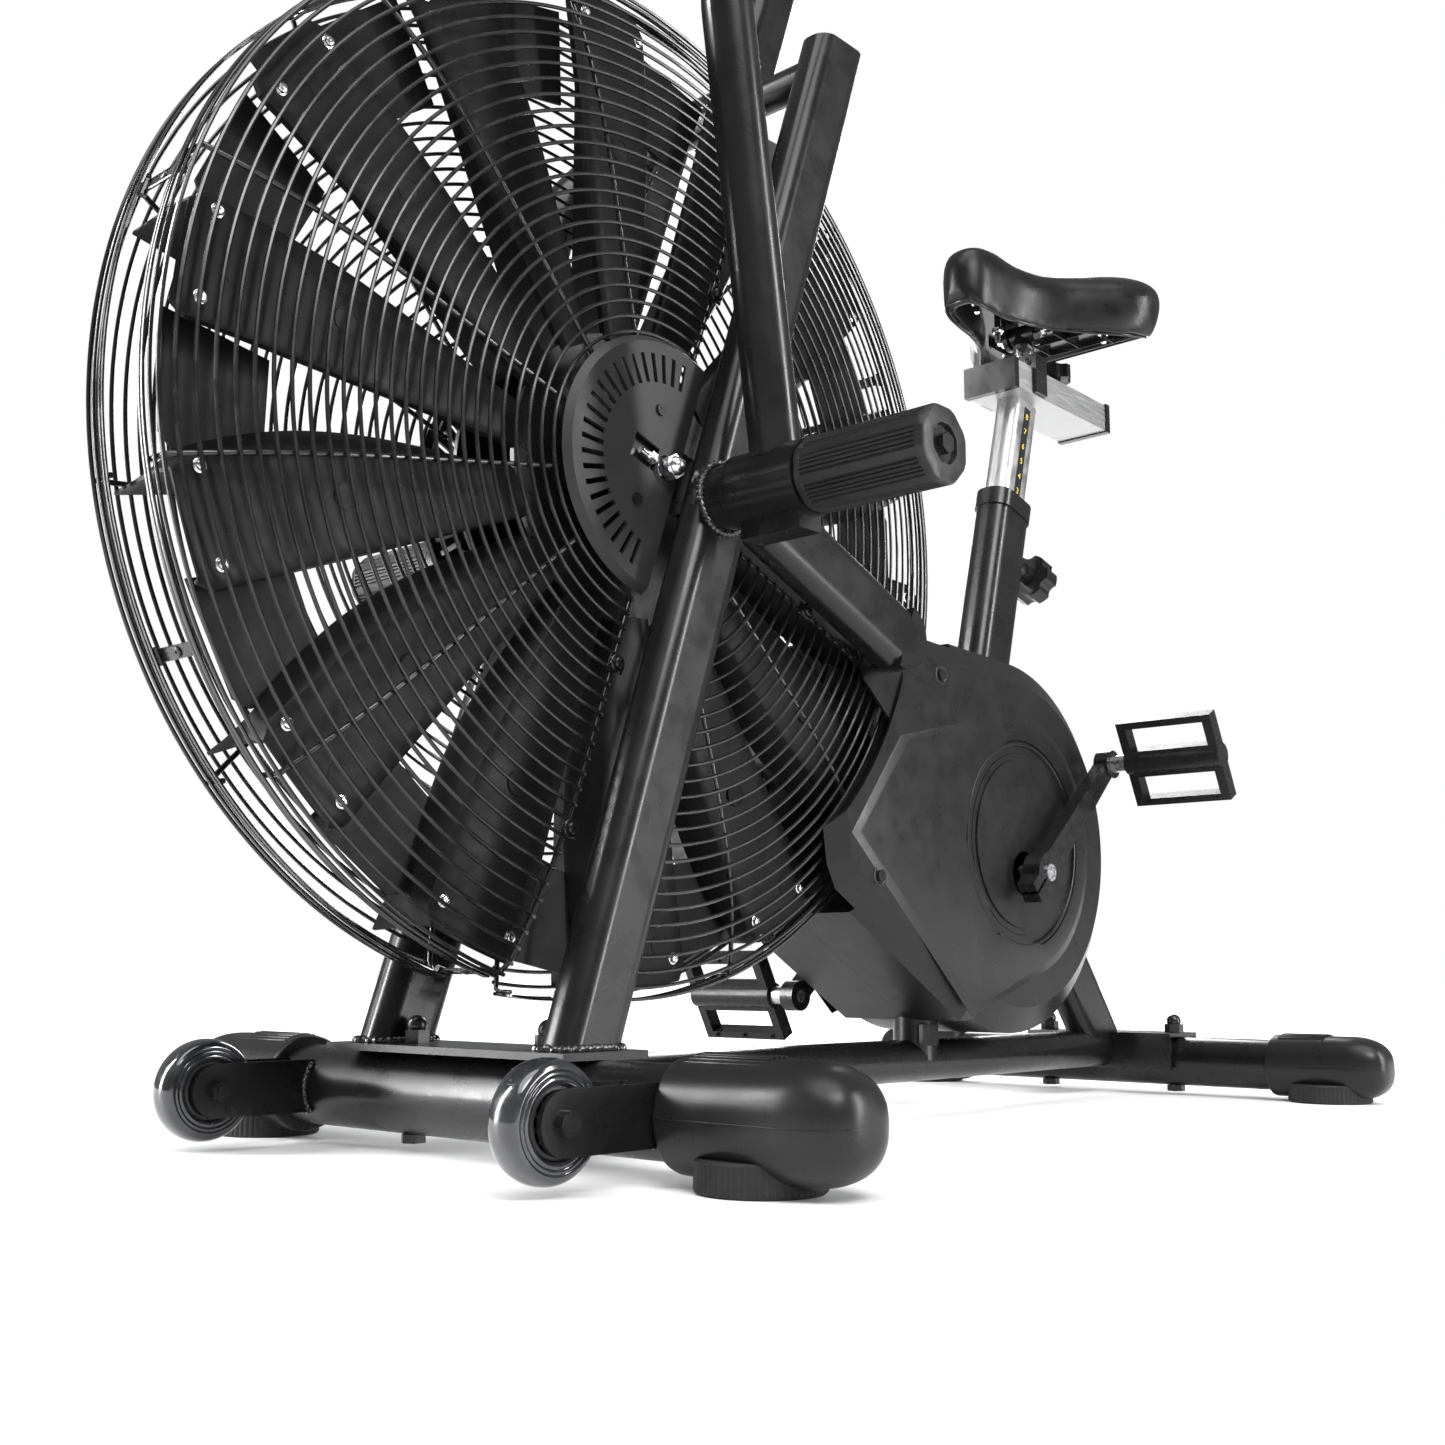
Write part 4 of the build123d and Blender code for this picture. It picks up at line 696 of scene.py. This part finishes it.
# ---- saddle ----
SADDLE_LOW, SADDLE_HIGH = box_mm("saddle_cushion")
SADDLE_LEN = SADDLE_HIGH.x - SADDLE_LOW.x
SADDLE_STATIONS = (       # share of the length, half width, skirt's edge and crown over the base
    (0.0, 8.0, 24.0, 51.0), (0.02, 17.0, 12.0, 63.0), (0.06, 26.0, 4.0, 73.0),
    (0.16, 32.0, 1.0, 78.0), (0.3, 39.0, 0.5, 72.5), (0.45, 55.0, 1.0, 71.0),
    (0.6, 83.0, 2.0, 78.0), (0.75, 110.0, 5.0, 88.0), (0.87, 119.0, 10.0, 93.5),
    (0.95, 111.0, 17.0, 91.5), (0.985, 96.0, 26.0, 84.0), (1.0, 80.0, 36.0, 73.0))


def saddle_at(share, column):
    """One of the saddle's station values at a share of its length, on a smooth curve."""
    last = len(SADDLE_STATIONS) - 1
    for i in range(last):
        start, end = SADDLE_STATIONS[i], SADDLE_STATIONS[i + 1]
        if share <= end[0] or i == last - 1:
            before, after = SADDLE_STATIONS[max(i - 1, 0)], SADDLE_STATIONS[min(i + 2, last)]
            span = end[0] - start[0]
            t = min(1.0, (share - start[0]) / span)
            slope_in = (end[column] - before[column]) / max(end[0] - before[0], 1e-6) * span
            slope_out = (after[column] - start[column]) / max(after[0] - start[0], 1e-6) * span
            return ((2 * t ** 3 - 3 * t * t + 1) * start[column] + (t ** 3 - 2 * t * t + t)
                    * slope_in + (3 * t * t - 2 * t ** 3) * end[column]
                    + (t ** 3 - t * t) * slope_out)


def saddle_x(share):
    """The place along the bike at a share of the saddle's length from its nose."""
    return SADDLE_HIGH.x - 4 - (SADDLE_LEN - 8) * share


def saddle_form():
    """The saddle's stuffed form: a crown with a skirt that hangs round a hollow underside."""
    form, outer, inner, steps = Shape(), 42, 20, 56
    rows = []
    for i in range(steps + 1):
        share = 0.5 - 0.5 * math.cos(math.pi * i / steps)
        share = 0.35 * share + 0.65 * i / steps
        wide, low, high = (saddle_at(share, column) for column in (1, 2, 3))
        x, base = saddle_x(share), SADDLE_LOW.z
        wide, middle = wide - 2.0, base + low + (high - low) * 0.46
        row = []
        for k in range(outer):
            a = math.pi * (1.16 - 1.32 * k / (outer - 1))
            c, z = math.cos(a), math.sin(a)
            across = math.copysign(abs(c) ** 0.62, c) * (1.0 if z >= 0 else 1.0 - 0.16 * z * z)
            if z >= 0:
                up = z ** 0.8
                droop = 8.0 * smoothstep((share - 0.4) / 0.4) * abs(across) ** 2.4
                crease = 2.6 * smoothstep((share - 0.35) / 0.2) * smoothstep((0.98 - share) / 0.2)
                crease *= math.exp(-(across * wide / 10.0) ** 2)
                height = middle + (base + high - 2.0 - droop - crease - middle) * up
            else:
                height = middle - (middle - base - low) * min(1.0, -z / 0.482)
            row.append((x, wide * across, height))
        roof = min(base + 37.5, base + high - 22.0)
        skirt = 6.5 * smoothstep(share / 0.12) * smoothstep((1.0 - share) / 0.1) + 1.0
        pocket = max(wide * 0.42, wide * 0.94 - skirt - 3.0)
        depth = smoothstep((share - 0.05) / 0.09) * smoothstep((0.955 - share) / 0.05)
        roof = base + low + 1.0 + (roof - base - low - 1.0) * depth
        for k in range(inner):
            t = k / (inner - 1)
            side = 1 - 2 * t
            rise = min(1.0, (1 - abs(side)) / 0.16)
            row.append((x, pocket * side, base + low + 0.6 + (roof - base - low) * rise ** 0.6))
        rows.append(row)
    return form.rings(rows)


def inflate(obj, voxel, pressure, frames, cap):
    """Swells a padded piece by cloth pressure, no point moving more than a cap, in metres."""
    mod = obj.modifiers.new("remesh", "REMESH")
    mod.mode, mod.voxel_size, mod.use_smooth_shade = "VOXEL", voxel, True
    apply_modifiers(obj)
    start = [v.co.copy() for v in obj.data.vertices]
    cloth = obj.modifiers.new("cloth", "CLOTH")
    stuff = cloth.settings
    stuff.quality, stuff.mass, stuff.bending_stiffness = 6, 0.35, 3.0
    stuff.tension_stiffness = stuff.compression_stiffness = 22
    stuff.use_pressure, stuff.uniform_pressure_force = True, pressure
    stuff.effector_weights.gravity = 0
    pinned = obj.vertex_groups.new(name="base")
    floor = SADDLE_LOW.z * MM + 0.034
    pinned.add([v.index for v in obj.data.vertices if v.co.z < floor or abs(v.normal.z) > 0.5
                and v.normal.z < 0], 1.0, "REPLACE")
    stuff.vertex_group_mass = "base"
    cloth.point_cache.frame_end = frames
    for number in range(1, frames + 1):
        bpy.context.scene.frame_set(number)
    shaped = obj.evaluated_get(bpy.context.evaluated_depsgraph_get())
    moved = [v.co.copy() for v in shaped.data.vertices]
    obj.modifiers.clear()
    obj.vertex_groups.clear()
    for vert, home, goal in zip(obj.data.vertices, start, moved):
        step = goal - home
        if step.length > cap:
            step *= cap / step.length
        vert.co = home + step
    bpy.context.scene.frame_set(1)


def apply_modifiers(obj):
    """Bakes an object's modifiers into its mesh."""
    shaped = obj.evaluated_get(bpy.context.evaluated_depsgraph_get())
    mesh = bpy.data.meshes.new_from_object(shaped)
    obj.modifiers.clear()
    obj.data = mesh


def build_saddle():
    """The padded saddle, swelled by a cloth pass, with a welt round its lower edge."""
    cushion = saddle_form().build("saddle_pad", "vinyl", "saddle", 180)
    inflate(cushion, 0.0045, 3.0, 16, 0.004)
    mod = cushion.modifiers.new("smooth", "SMOOTH")
    mod.factor, mod.iterations = 0.5, 4
    apply_modifiers(cushion)
    mod = cushion.modifiers.new("subdivide", "SUBSURF")
    mod.levels = mod.render_levels = 1
    apply_modifiers(cushion)
    soften(cushion, 180)
    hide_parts("saddle_cushion")
    line, steps = [], 110
    for i in range(steps):
        turn = i * math.tau / steps
        share = 0.5 - 0.47 * math.cos(turn)
        side = math.copysign(1, math.sin(turn))
        line.append(Vector((saddle_x(share), side * (saddle_at(share, 1) * 0.84 - 2.5),
                            SADDLE_LOW.z + saddle_at(share, 2) + 1.6)))
    Shape().tube(line, 1.5, 8, closed=True).build("saddle_edge_trim", "knob_plastic", "saddle", 60)
    build_saddle_fittings()


def build_saddle_fittings():
    """Ribs and plated studs under the saddle, the front rod, and the plated seat stub."""
    pivot, roof = centre("saddle_clamp", 0), box_mm("saddle_pan")[1].z - 7.0
    studs, ribs, rod = Shape(), Shape(), Shape()
    for x, y in ((92.0, 0.0), (-70.0, 60.0), (-70.0, -60.0)):
        at = Vector((pivot.x + x, y, roof))
        studs.lathe(at, DOWN, [(-1, 9), (0.6, 9), (1.2, 8.4), (1.4, 5)], 24)
        studs.hexagon(at + DOWN * 1.2, DOWN, 12, 7)
        studs.lathe(at + DOWN * 8, DOWN, [(0, 3.2), (9, 3.2), (10, 2.4)], 16)
    for y in (-42.0, -14.0, 14.0, 42.0):
        long = 110 if abs(y) > 30 else 70
        ribs.box((pivot.x - 62, y * 1.3, roof - 3.4), (X_AXIS, SIDE, -DOWN),
                 (long * 0.8, 2.2, 7.5), 0.5)
    for x in (-95.0, -60.0, -28.0):
        ribs.box((pivot.x + x, 0, roof - 2.6), (SIDE, X_AXIS, -DOWN), (120, 2.2, 6.0), 0.5)
    at = Vector((pivot.x + 52, 0, roof))
    rod.lathe(at, DOWN, [(0, 3.4), (36, 3.4), (38, 2.6)], 16)
    studs.hexagon(at + DOWN * 22, DOWN, 11, 6)
    studs.build("saddle_studs", "zinc", "saddle")
    ribs.build("saddle_pan_ribs", "knob_plastic", "saddle")
    rod.build("saddle_front_rod", "crank_black", "saddle")
    rail = box_mm("seat_rail")
    foot = Vector((pivot.x, 0, rail[1].z + 18.2))
    stub_top = pivot.z - 12.5 - foot.z
    Shape().lathe(foot, -DOWN, [(0, 11.2), (0, 12.6), (3.0, 12.6), (3.6, 11.25),
                                (stub_top - 0.5, 11.25), (stub_top, 10.8)], 40).build(
        "seat_stub_sleeve", "zinc", "carriage")
    front, heads, fins = box_mm("seat_carriage")[1].x, Shape(), Shape()
    for y, above in ((-24.0, 7), (24.0, 7), (0.0, 9)):
        heads.bolt((front, y, rail[1].z + above), X_AXIS, 4.2, 2.4)
    for y in (-34.0, 34.0):
        for above in (10, 18, 26):
            fins.box((front - 9, y * 1.012, rail[0].z + above), (X_AXIS, -DOWN, SIDE),
                     (19, 2.4, 1.0), 0.2)
    heads.build("carriage_screws", "fasteners", "carriage")
    fins.build("carriage_fins", "fasteners", "carriage")


# ---- weld beads ----
def bead(shape, points, radius=2.6, closed=True, pitch=3.4):
    """A rippled weld bead along points, resampled to its ripple pitch."""
    points = [Vector(p) for p in points]
    if closed:
        points.append(points[0])
    dense = []
    for start, end in zip(points, points[1:]):
        count = max(1, int((end - start).length / (pitch / 4)))
        dense += [start.lerp(end, i / count) for i in range(count)]
    if not closed:
        dense.append(points[-1])
    ripple = lambda i: 1.0 + 0.22 * math.sin(i * math.tau / 4) + 0.18 * noise.noise(
        Vector((i * 0.31, radius, 0.5)))
    return shape.tube(dense, radius, 8, closed, ripple)


def oval_path(middle, along_x, along_y, deep, wide, corner, steps=7):
    """Points round a rounded rectangle."""
    points = []
    for quarter, (sx, sy) in enumerate(((1, 1), (-1, 1), (-1, -1), (1, -1))):
        cx, cy = sx * (deep / 2 - corner), sy * (wide / 2 - corner)
        for i in range(steps + 1):
            a = (quarter + i / steps) * math.pi / 2
            points.append(Vector(middle) + along_x * (cx + corner * math.cos(a))
                          + along_y * (cy + corner * math.sin(a)))
    return points


LEG_Y, LEG_SECTION = 97.0, (60, 34, 15)     # the leg's middle; its depth, width and corners
BOSS_Y, BOSS_R = 114.0, 25.5                # the peg boss's outer face and its weld


def build_welds():
    """The weld beads that show: leg feet, wheel plates, peg bosses and beams."""
    welds = Shape()
    plate_top = box_mm("left_upright")[0].z
    for side in (1, -1):
        foot = Vector((FRONT.x - 2.8, LEG_Y * side, plate_top + 1.0))
        bead(welds, oval_path(foot, X_AXIS, SIDE, *LEG_SECTION), 3.0)
        bead(welds, ring_points(PEG + SIDE * side * BOSS_Y, SIDE, BOSS_R, turns(40)), 3.0)
        for offset in (-16, 16):
            y = side * WHEEL.y + offset
            for lean in (-1, 1):
                line = [FRONT + ray(-0.62 + 1.24 * i / 8) * 31.0 + SIDE * (y + lean * 3.2)
                        for i in range(9)]
                bead(welds, line, 2.4, closed=False)
        beam = Vector((PEG.x - 58, LEG_Y * side, PEG.z + 14))
        bead(welds, oval_path(beam, UP, SIDE, 58, 33, 14), 2.4)
    welds.build("weld_beads", "weld", "frame", 50, "black_steel")


# ---- feet, boots and wheels ----
def build_feet():
    """Fluted levelling feet."""
    feet, sides, height = Shape(), 180, box_mm("levelling_feet")[1].z
    for x, y, top in ((FRONT.x, 254.0, height), (REAR.x, 239.0, height - 2)):
        for side in (1, -1):
            rows = []
            for z, shrink, flute in ((0, 2.2, 0), (1.2, 0.9, 0), (2.0, 0.4, 1), (top - 3, 0.4, 1),
                                     (top - 1.6, 0.5, 0), (top, 1.6, 0)):
                rows.append([(x + math.cos(a) * r, side * y + math.sin(a) * r, z)
                             for a, r in ((k * math.tau / sides, 40.0 - shrink - flute * 0.7
                                           * (k % 3 == 0)) for k in range(sides))])
            feet.rings(rows)
    feet.build("fluted_feet", "foot_rubber", "frame", 25, "rubber", "levelling_feet")


def boot_ring(middle, radius, y, squareness):
    """A rounded-square section of an end boot at a distance across."""
    points = []
    for out in (ray(a) for a in turns(64)):
        fit = (abs(out.x) ** squareness + abs(out.z) ** squareness) ** (-1 / squareness)
        points.append(middle + out * fit * radius + SIDE * y)
    return points


def build_boots():
    """Moulded end boots with soft domed ends, a parting line and a ribbed tread pad."""
    boots, pads, seams = Shape(), Shape(), Shape()
    for middle, radius, y0, y1, tip in ((FRONT, 36.0, 199.0, 292.0, box_mm("end_caps")[1].y),
                                        (REAR, 30.5, 185.0, 264.0, 300.5)):
        for side in (1, -1):
            rows = []
            for along, scale in ((0.0, 0.93), (1.2, 0.985), (3.0, 1.0)):
                rows.append(boot_ring(middle, radius * scale * 0.995, side * (y0 + along), 2.15))
            for k in range(9):
                share = k / 8
                rows.append(boot_ring(middle, radius * 0.995, side * (y0 + 4 + (y1 - y0 - 4)
                                      * share), 2.15 + 0.2 * share))
            for k in range(1, 17):
                a = k / 16 * math.pi / 2
                rows.append(boot_ring(middle, max(0.3, radius * 0.995 * math.cos(a) ** 0.62),
                                      side * (y1 + (tip - y1 - 0.4) * math.sin(a)),
                                      2.35 + 0.15 * math.sin(a)))
            boots.rings(rows)
            for rib in range(9):
                at = middle + ray(math.radians(90 + (rib - 4) * 7.0)) * (radius + 0.5)
                ends = [at + SIDE * side * (y0 + step) for step in (9, 11)]
                ends += [at + SIDE * side * (y1 - step) for step in (24, 22)]
                pads.tube(ends, 1.15, 8, ripple=lambda i: (0.5, 1, 1, 0.5)[i])
            line = [middle + Vector((radius * 0.996, side * y, 0)) for y in (y0 + 2, y1)]
            for i in range(1, 20):
                a = math.pi / 2 * i / 20
                line.append(middle + Vector((radius * 0.996 * math.cos(a) ** 0.62,
                                             side * (y1 + (tip - y1 - 0.4) * math.sin(a)), 0)))
            seams.tube(line, 0.42, 6)
    boots.build("end_boots", "rubber", "frame", 50, replaces="end_caps")
    pads.build("boot_treads", "rubber", "frame", 50)
    seams.build("boot_seams", "rubber", "frame", 50)


def mirrored(half, crown=()):
    """A closed profile from one half of it, with a crown between the halves."""
    return half + list(crown) + [(-along, radius) for along, radius in reversed(half)] + half[:1]


def build_wheels():
    """Skate-style transport wheels: glossy tyres on spoked hubs."""
    for _, word in SIDES:
        low, high = box_mm(f"{word}_wheel_tyre")
        middle, outer, half = (low + high) / 2, (high.x - low.x) / 2, (high.y - low.y) / 2
        bore = (box_mm(f"{word}_wheel_hub")[1].x - box_mm(f"{word}_wheel_hub")[0].x) / 2
        wall = [(-half + 1.5, bore - 0.1), (-half + 0.4, bore + 0.8), (-half, bore + 2.2)]
        for radius in (bore + 4.5, bore + 7.5):
            wall += [(-half, radius - 0.6), (-half + 0.5, radius), (-half, radius + 0.6)]
        tread = [(-(half - 0.3) * math.cos(a), bore + 9.5 + (outer - bore - 9.5)
                  * math.sin(a) ** 0.8) for a in (math.pi * k / 14 for k in range(15))]
        tyre = Shape().lathe(middle, SIDE, mirrored(wall, tread), 96)
        tyre.build(f"{word}_tyre", "tyre", f"{word}_wheel", 60, replaces=f"{word}_wheel_tyre")
        hub = Shape().lathe(middle, SIDE, mirrored(
            [(-half + 1.8, bore - 0.3), (-half + 1.0, bore - 1.4), (-half + 1.0, bore - 2.6),
             (-half + 2.4, bore - 3.4)]), 72)
        hub.lathe(middle, SIDE, mirrored(
            [(-half + 0.6, 4.2), (-half + 0.6, 8.6), (-half + 1.6, 9.6)]), 48)
        for a in turns(11):
            start, end = middle + ray(a) * 9.0, middle + ray(a + 0.42) * (bore - 3.0)
            along = (end - start).normalized()
            hub.box((start + end) / 2, (along.cross(SIDE), SIDE, along),
                    (2.4, 2 * half - 6.5, (end - start).length), 0.5)
        hub.build(f"{word}_hub", "hub_plastic", f"{word}_wheel", 40,
                  replaces=f"{word}_wheel_hub")


# ---- drive cover ----
def hull(points):
    """The convex outline round flat points."""
    points = sorted(set(points))
    halves = []
    for order in (points, points[::-1]):
        half = []
        for p in order:
            while len(half) > 1 and ((half[-1][0] - half[-2][0]) * (p[1] - half[-2][1])
                                     - (half[-1][1] - half[-2][1]) * (p[0] - half[-2][0])) <= 0:
                half.pop()
            half.append(p)
        halves += half[:-1]
    return halves


CAP_PANEL = ((194.0, 82.0), (244.0, 17.0), (265.0, -6.0), (177.0, -70.0), (90.0, -159.0))
CAP_SCREWS = ((130.0, 144.0), (226.0, -40.0))       # both from the cap's middle, as x and z
PANEL_R, DISC_R = 124.0, 98.6           # the panel's round back and its round opening


def build_cover_details():
    """The raised panel, screw recesses and round bezel moulded into each drive cover."""
    for side, word in SIDES:
        face = max(abs(corner.y) for corner in box_mm(f"{word}_cover"))
        outline = hull([(CAP.x + x, CAP.z + z) for x, z in CAP_PANEL]
                       + [(round(CAP.x + PANEL_R * math.cos(a), 3),
                           round(CAP.z + PANEL_R * math.sin(a), 3)) for a in turns(90)])
        middle = Vector((sum(p[0] for p in outline), sum(p[1] for p in outline))) / len(outline)
        panel, rows = Shape(), []
        for out, lift in ((0.0, -0.6), (0.0, 0.1), (-3.0, 0.8), (-9.0, 2.1), (-10.5, 2.3)):
            ways = [(x, z, (Vector((x, z)) - middle).normalized()) for x, z in outline]
            rows.append([Vector((x + way.x * out, side * (face + lift), z + way.y * out))
                         for x, z, way in ways])
        rows.append([CAP + ray(a) * DISC_R + SIDE * side * (face + 2.3)
                     for a in (math.atan2(z - CAP.z, x - CAP.x) for x, z in outline)])
        rows.append([p - SIDE * side * 2.9 for p in rows[-1]])
        panel.rings(rows, capped=False)
        panel.build(f"{word}_cover_panel", "cover_plastic", "frame", 22)
        recess = Shape()
        for x, z in CAP_SCREWS:
            recess.lathe(CAP + Vector((x, side * face, z)), SIDE * side,
                         [(-0.4, 9.4), (0.5, 9.2), (0.8, 8.2), (0.3, 6.4), (-0.4, 5.2),
                          (-0.4, 9.4)], 40)
        recess.build(f"{word}_screw_recesses", "strip", "frame", 60, "cover_plastic")
        Shape().lathe(CAP + SIDE * side * face, SIDE * side, [
            (-0.5, 97.2), (1.6, 97.0), (2.9, 96.0), (3.1, 94.8), (2.6, 93.6), (-0.4, 92.4),
            (-0.5, 97.2)], 128).build(f"{word}_cap_bezel", "cover_plastic", "frame", 40)


# ---- seat-post scale ----
POST_SLOPE = 0.27               # how far the post leans back for each unit of height


def build_scale():
    """The black strip on the seat post with plain numbers."""
    up = Vector((-POST_SLOPE, 0, 1)).normalized()
    ahead = Vector((up.z, 0, -up.x))
    base = centre("seat_post", 14.15)
    strip = Shape().box(base + up * 92, (ahead, SIDE, up), (11, 0.5, 165), 0.1)
    strip.build("scale_strip", "strip", "seat_mast", 30, "black_steel")
    for number in range(1, 9):
        curve = bpy.data.curves.new(f"scale_{number}", "FONT")
        curve.body, curve.size, curve.extrude = str(number), 0.0095, 0.00008
        curve.align_x, curve.align_y = "CENTER", "CENTER"
        text = linked(f"scale_{number}", curve)
        spot = (base + up * (20 + number * 18) + SIDE * 0.32) * MM
        turn = Matrix((-ahead, up, SIDE)).transposed().to_4x4()
        text.matrix_world = Matrix.Translation(spot) @ turn
        curve.materials.append(LOOKS["ink"])
        bpy.context.view_layer.update()
        mesh = bpy.data.meshes.new_from_object(text.evaluated_get(
            bpy.context.evaluated_depsgraph_get()))
        figure = linked(f"figure_{number}", mesh)
        mesh.transform(text.matrix_world)
        bpy.data.objects.remove(text)
        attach(figure, "seat_mast")


# ---- carried-over CAD nodes ----
NODE_LOOKS = {"hub_covers": "hub_cover_plastic", "seat_rail": "rail_aluminium"}


def finish_nodes():
    """Gives every carried-over CAD node the material of its slot."""
    slots = {row["node"]: row["material_slot"] for row in frame["record"]["subparts"]}
    for name, obj in frame["nodes"].items():
        look = LOOKS[NODE_LOOKS.get(name, slots[name])]
        obj.data.materials.clear()
        obj.data.materials.append(look)


# ---- stage ----
def add_light(name, place, target, size, power):
    """A soft area light aimed at a target, in metres and watts."""
    data = bpy.data.lights.new(name, "AREA")
    data.shape, data.size, data.size_y, data.energy = "RECTANGLE", size[0], size[1], power
    light = linked(name, data)
    aim = (Vector(target) - Vector(place)).to_track_quat("-Z", "Y")
    light.matrix_world = Matrix.Translation(place) @ aim.to_matrix().to_4x4()


def build_stage():
    """A pale floor, a white surround and soft studio lights."""
    mesh = bpy.data.meshes.new("floor")
    reach = 14.0
    mesh.from_pydata([(-reach, -reach, 0), (reach, -reach, 0), (reach, reach, 0),
                      (-reach, reach, 0)], [], [(0, 1, 2, 3)])
    floor = linked("floor", mesh)
    s = Surface("floor", (0.9, 0.9, 0.9), 0.6)
    s.tint(s.noise(2.0, 3), (0.88, 0.88, 0.88), (0.92, 0.92, 0.92))
    spread = s.node("ShaderNodeTexGradient", [("Vector", s.stretched((0.28, 0.28, 0.28)))],
                    gradient_type="SPHERICAL").outputs["Fac"]
    s.put("Emission Color", (1, 1, 1, 1))
    s.links.new(s.ranged(spread, 0.75, 0.04, 0.0, 0.65), s.shader.inputs["Emission Strength"])
    mesh.materials.append(s.material)
    world = bpy.data.worlds.new("studio")
    bpy.context.scene.world = world
    world.use_nodes = True
    nodes, links = world.node_tree.nodes, world.node_tree.links
    soft, plain = nodes["Background"], nodes.new("ShaderNodeBackground")
    for back, colour, strength in ((soft, (0.96, 0.98, 1.0, 1), 0.24), (plain, (1, 1, 1, 1), 1.0)):
        back.inputs["Color"].default_value, back.inputs["Strength"].default_value = colour, strength
    seen, mix = nodes.new("ShaderNodeLightPath"), nodes.new("ShaderNodeMixShader")
    links.new(seen.outputs["Is Camera Ray"], mix.inputs[0])
    links.new(soft.outputs[0], mix.inputs[1])
    links.new(plain.outputs[0], mix.inputs[2])
    links.new(mix.outputs[0], nodes["World Output"].inputs["Surface"])
    sun = bpy.data.lights.new("sun", "SUN")
    sun.energy, sun.angle = 2.3, math.radians(50)
    linked("sun", sun).rotation_euler = (math.radians(-14), math.radians(16), 0)
    add_light("key", (1.2, 2.6, 2.8), (0, 0, 0.45), (1.6, 1.2), 85)
    add_light("left_strip", (2.2, -2.1, 1.3), (0.1, 0, 0.45), (0.35, 2.6), 150)
    add_light("right_strip", (-1.6, 2.9, 1.1), (-0.1, 0, 0.45), (0.3, 2.4), 95)
    add_light("back", (-2.8, -1.8, 2.0), (0, 0, 0.5), (1.2, 1.8), 70)
    bpy.context.scene.view_settings.view_transform = "Standard"


add_camera()
finish_nodes()
build_cage()
build_blades()
build_pegs()
build_saddle()
build_welds()
build_feet()
build_boots()
build_wheels()
build_cover_details()
build_scale()
build_stage()
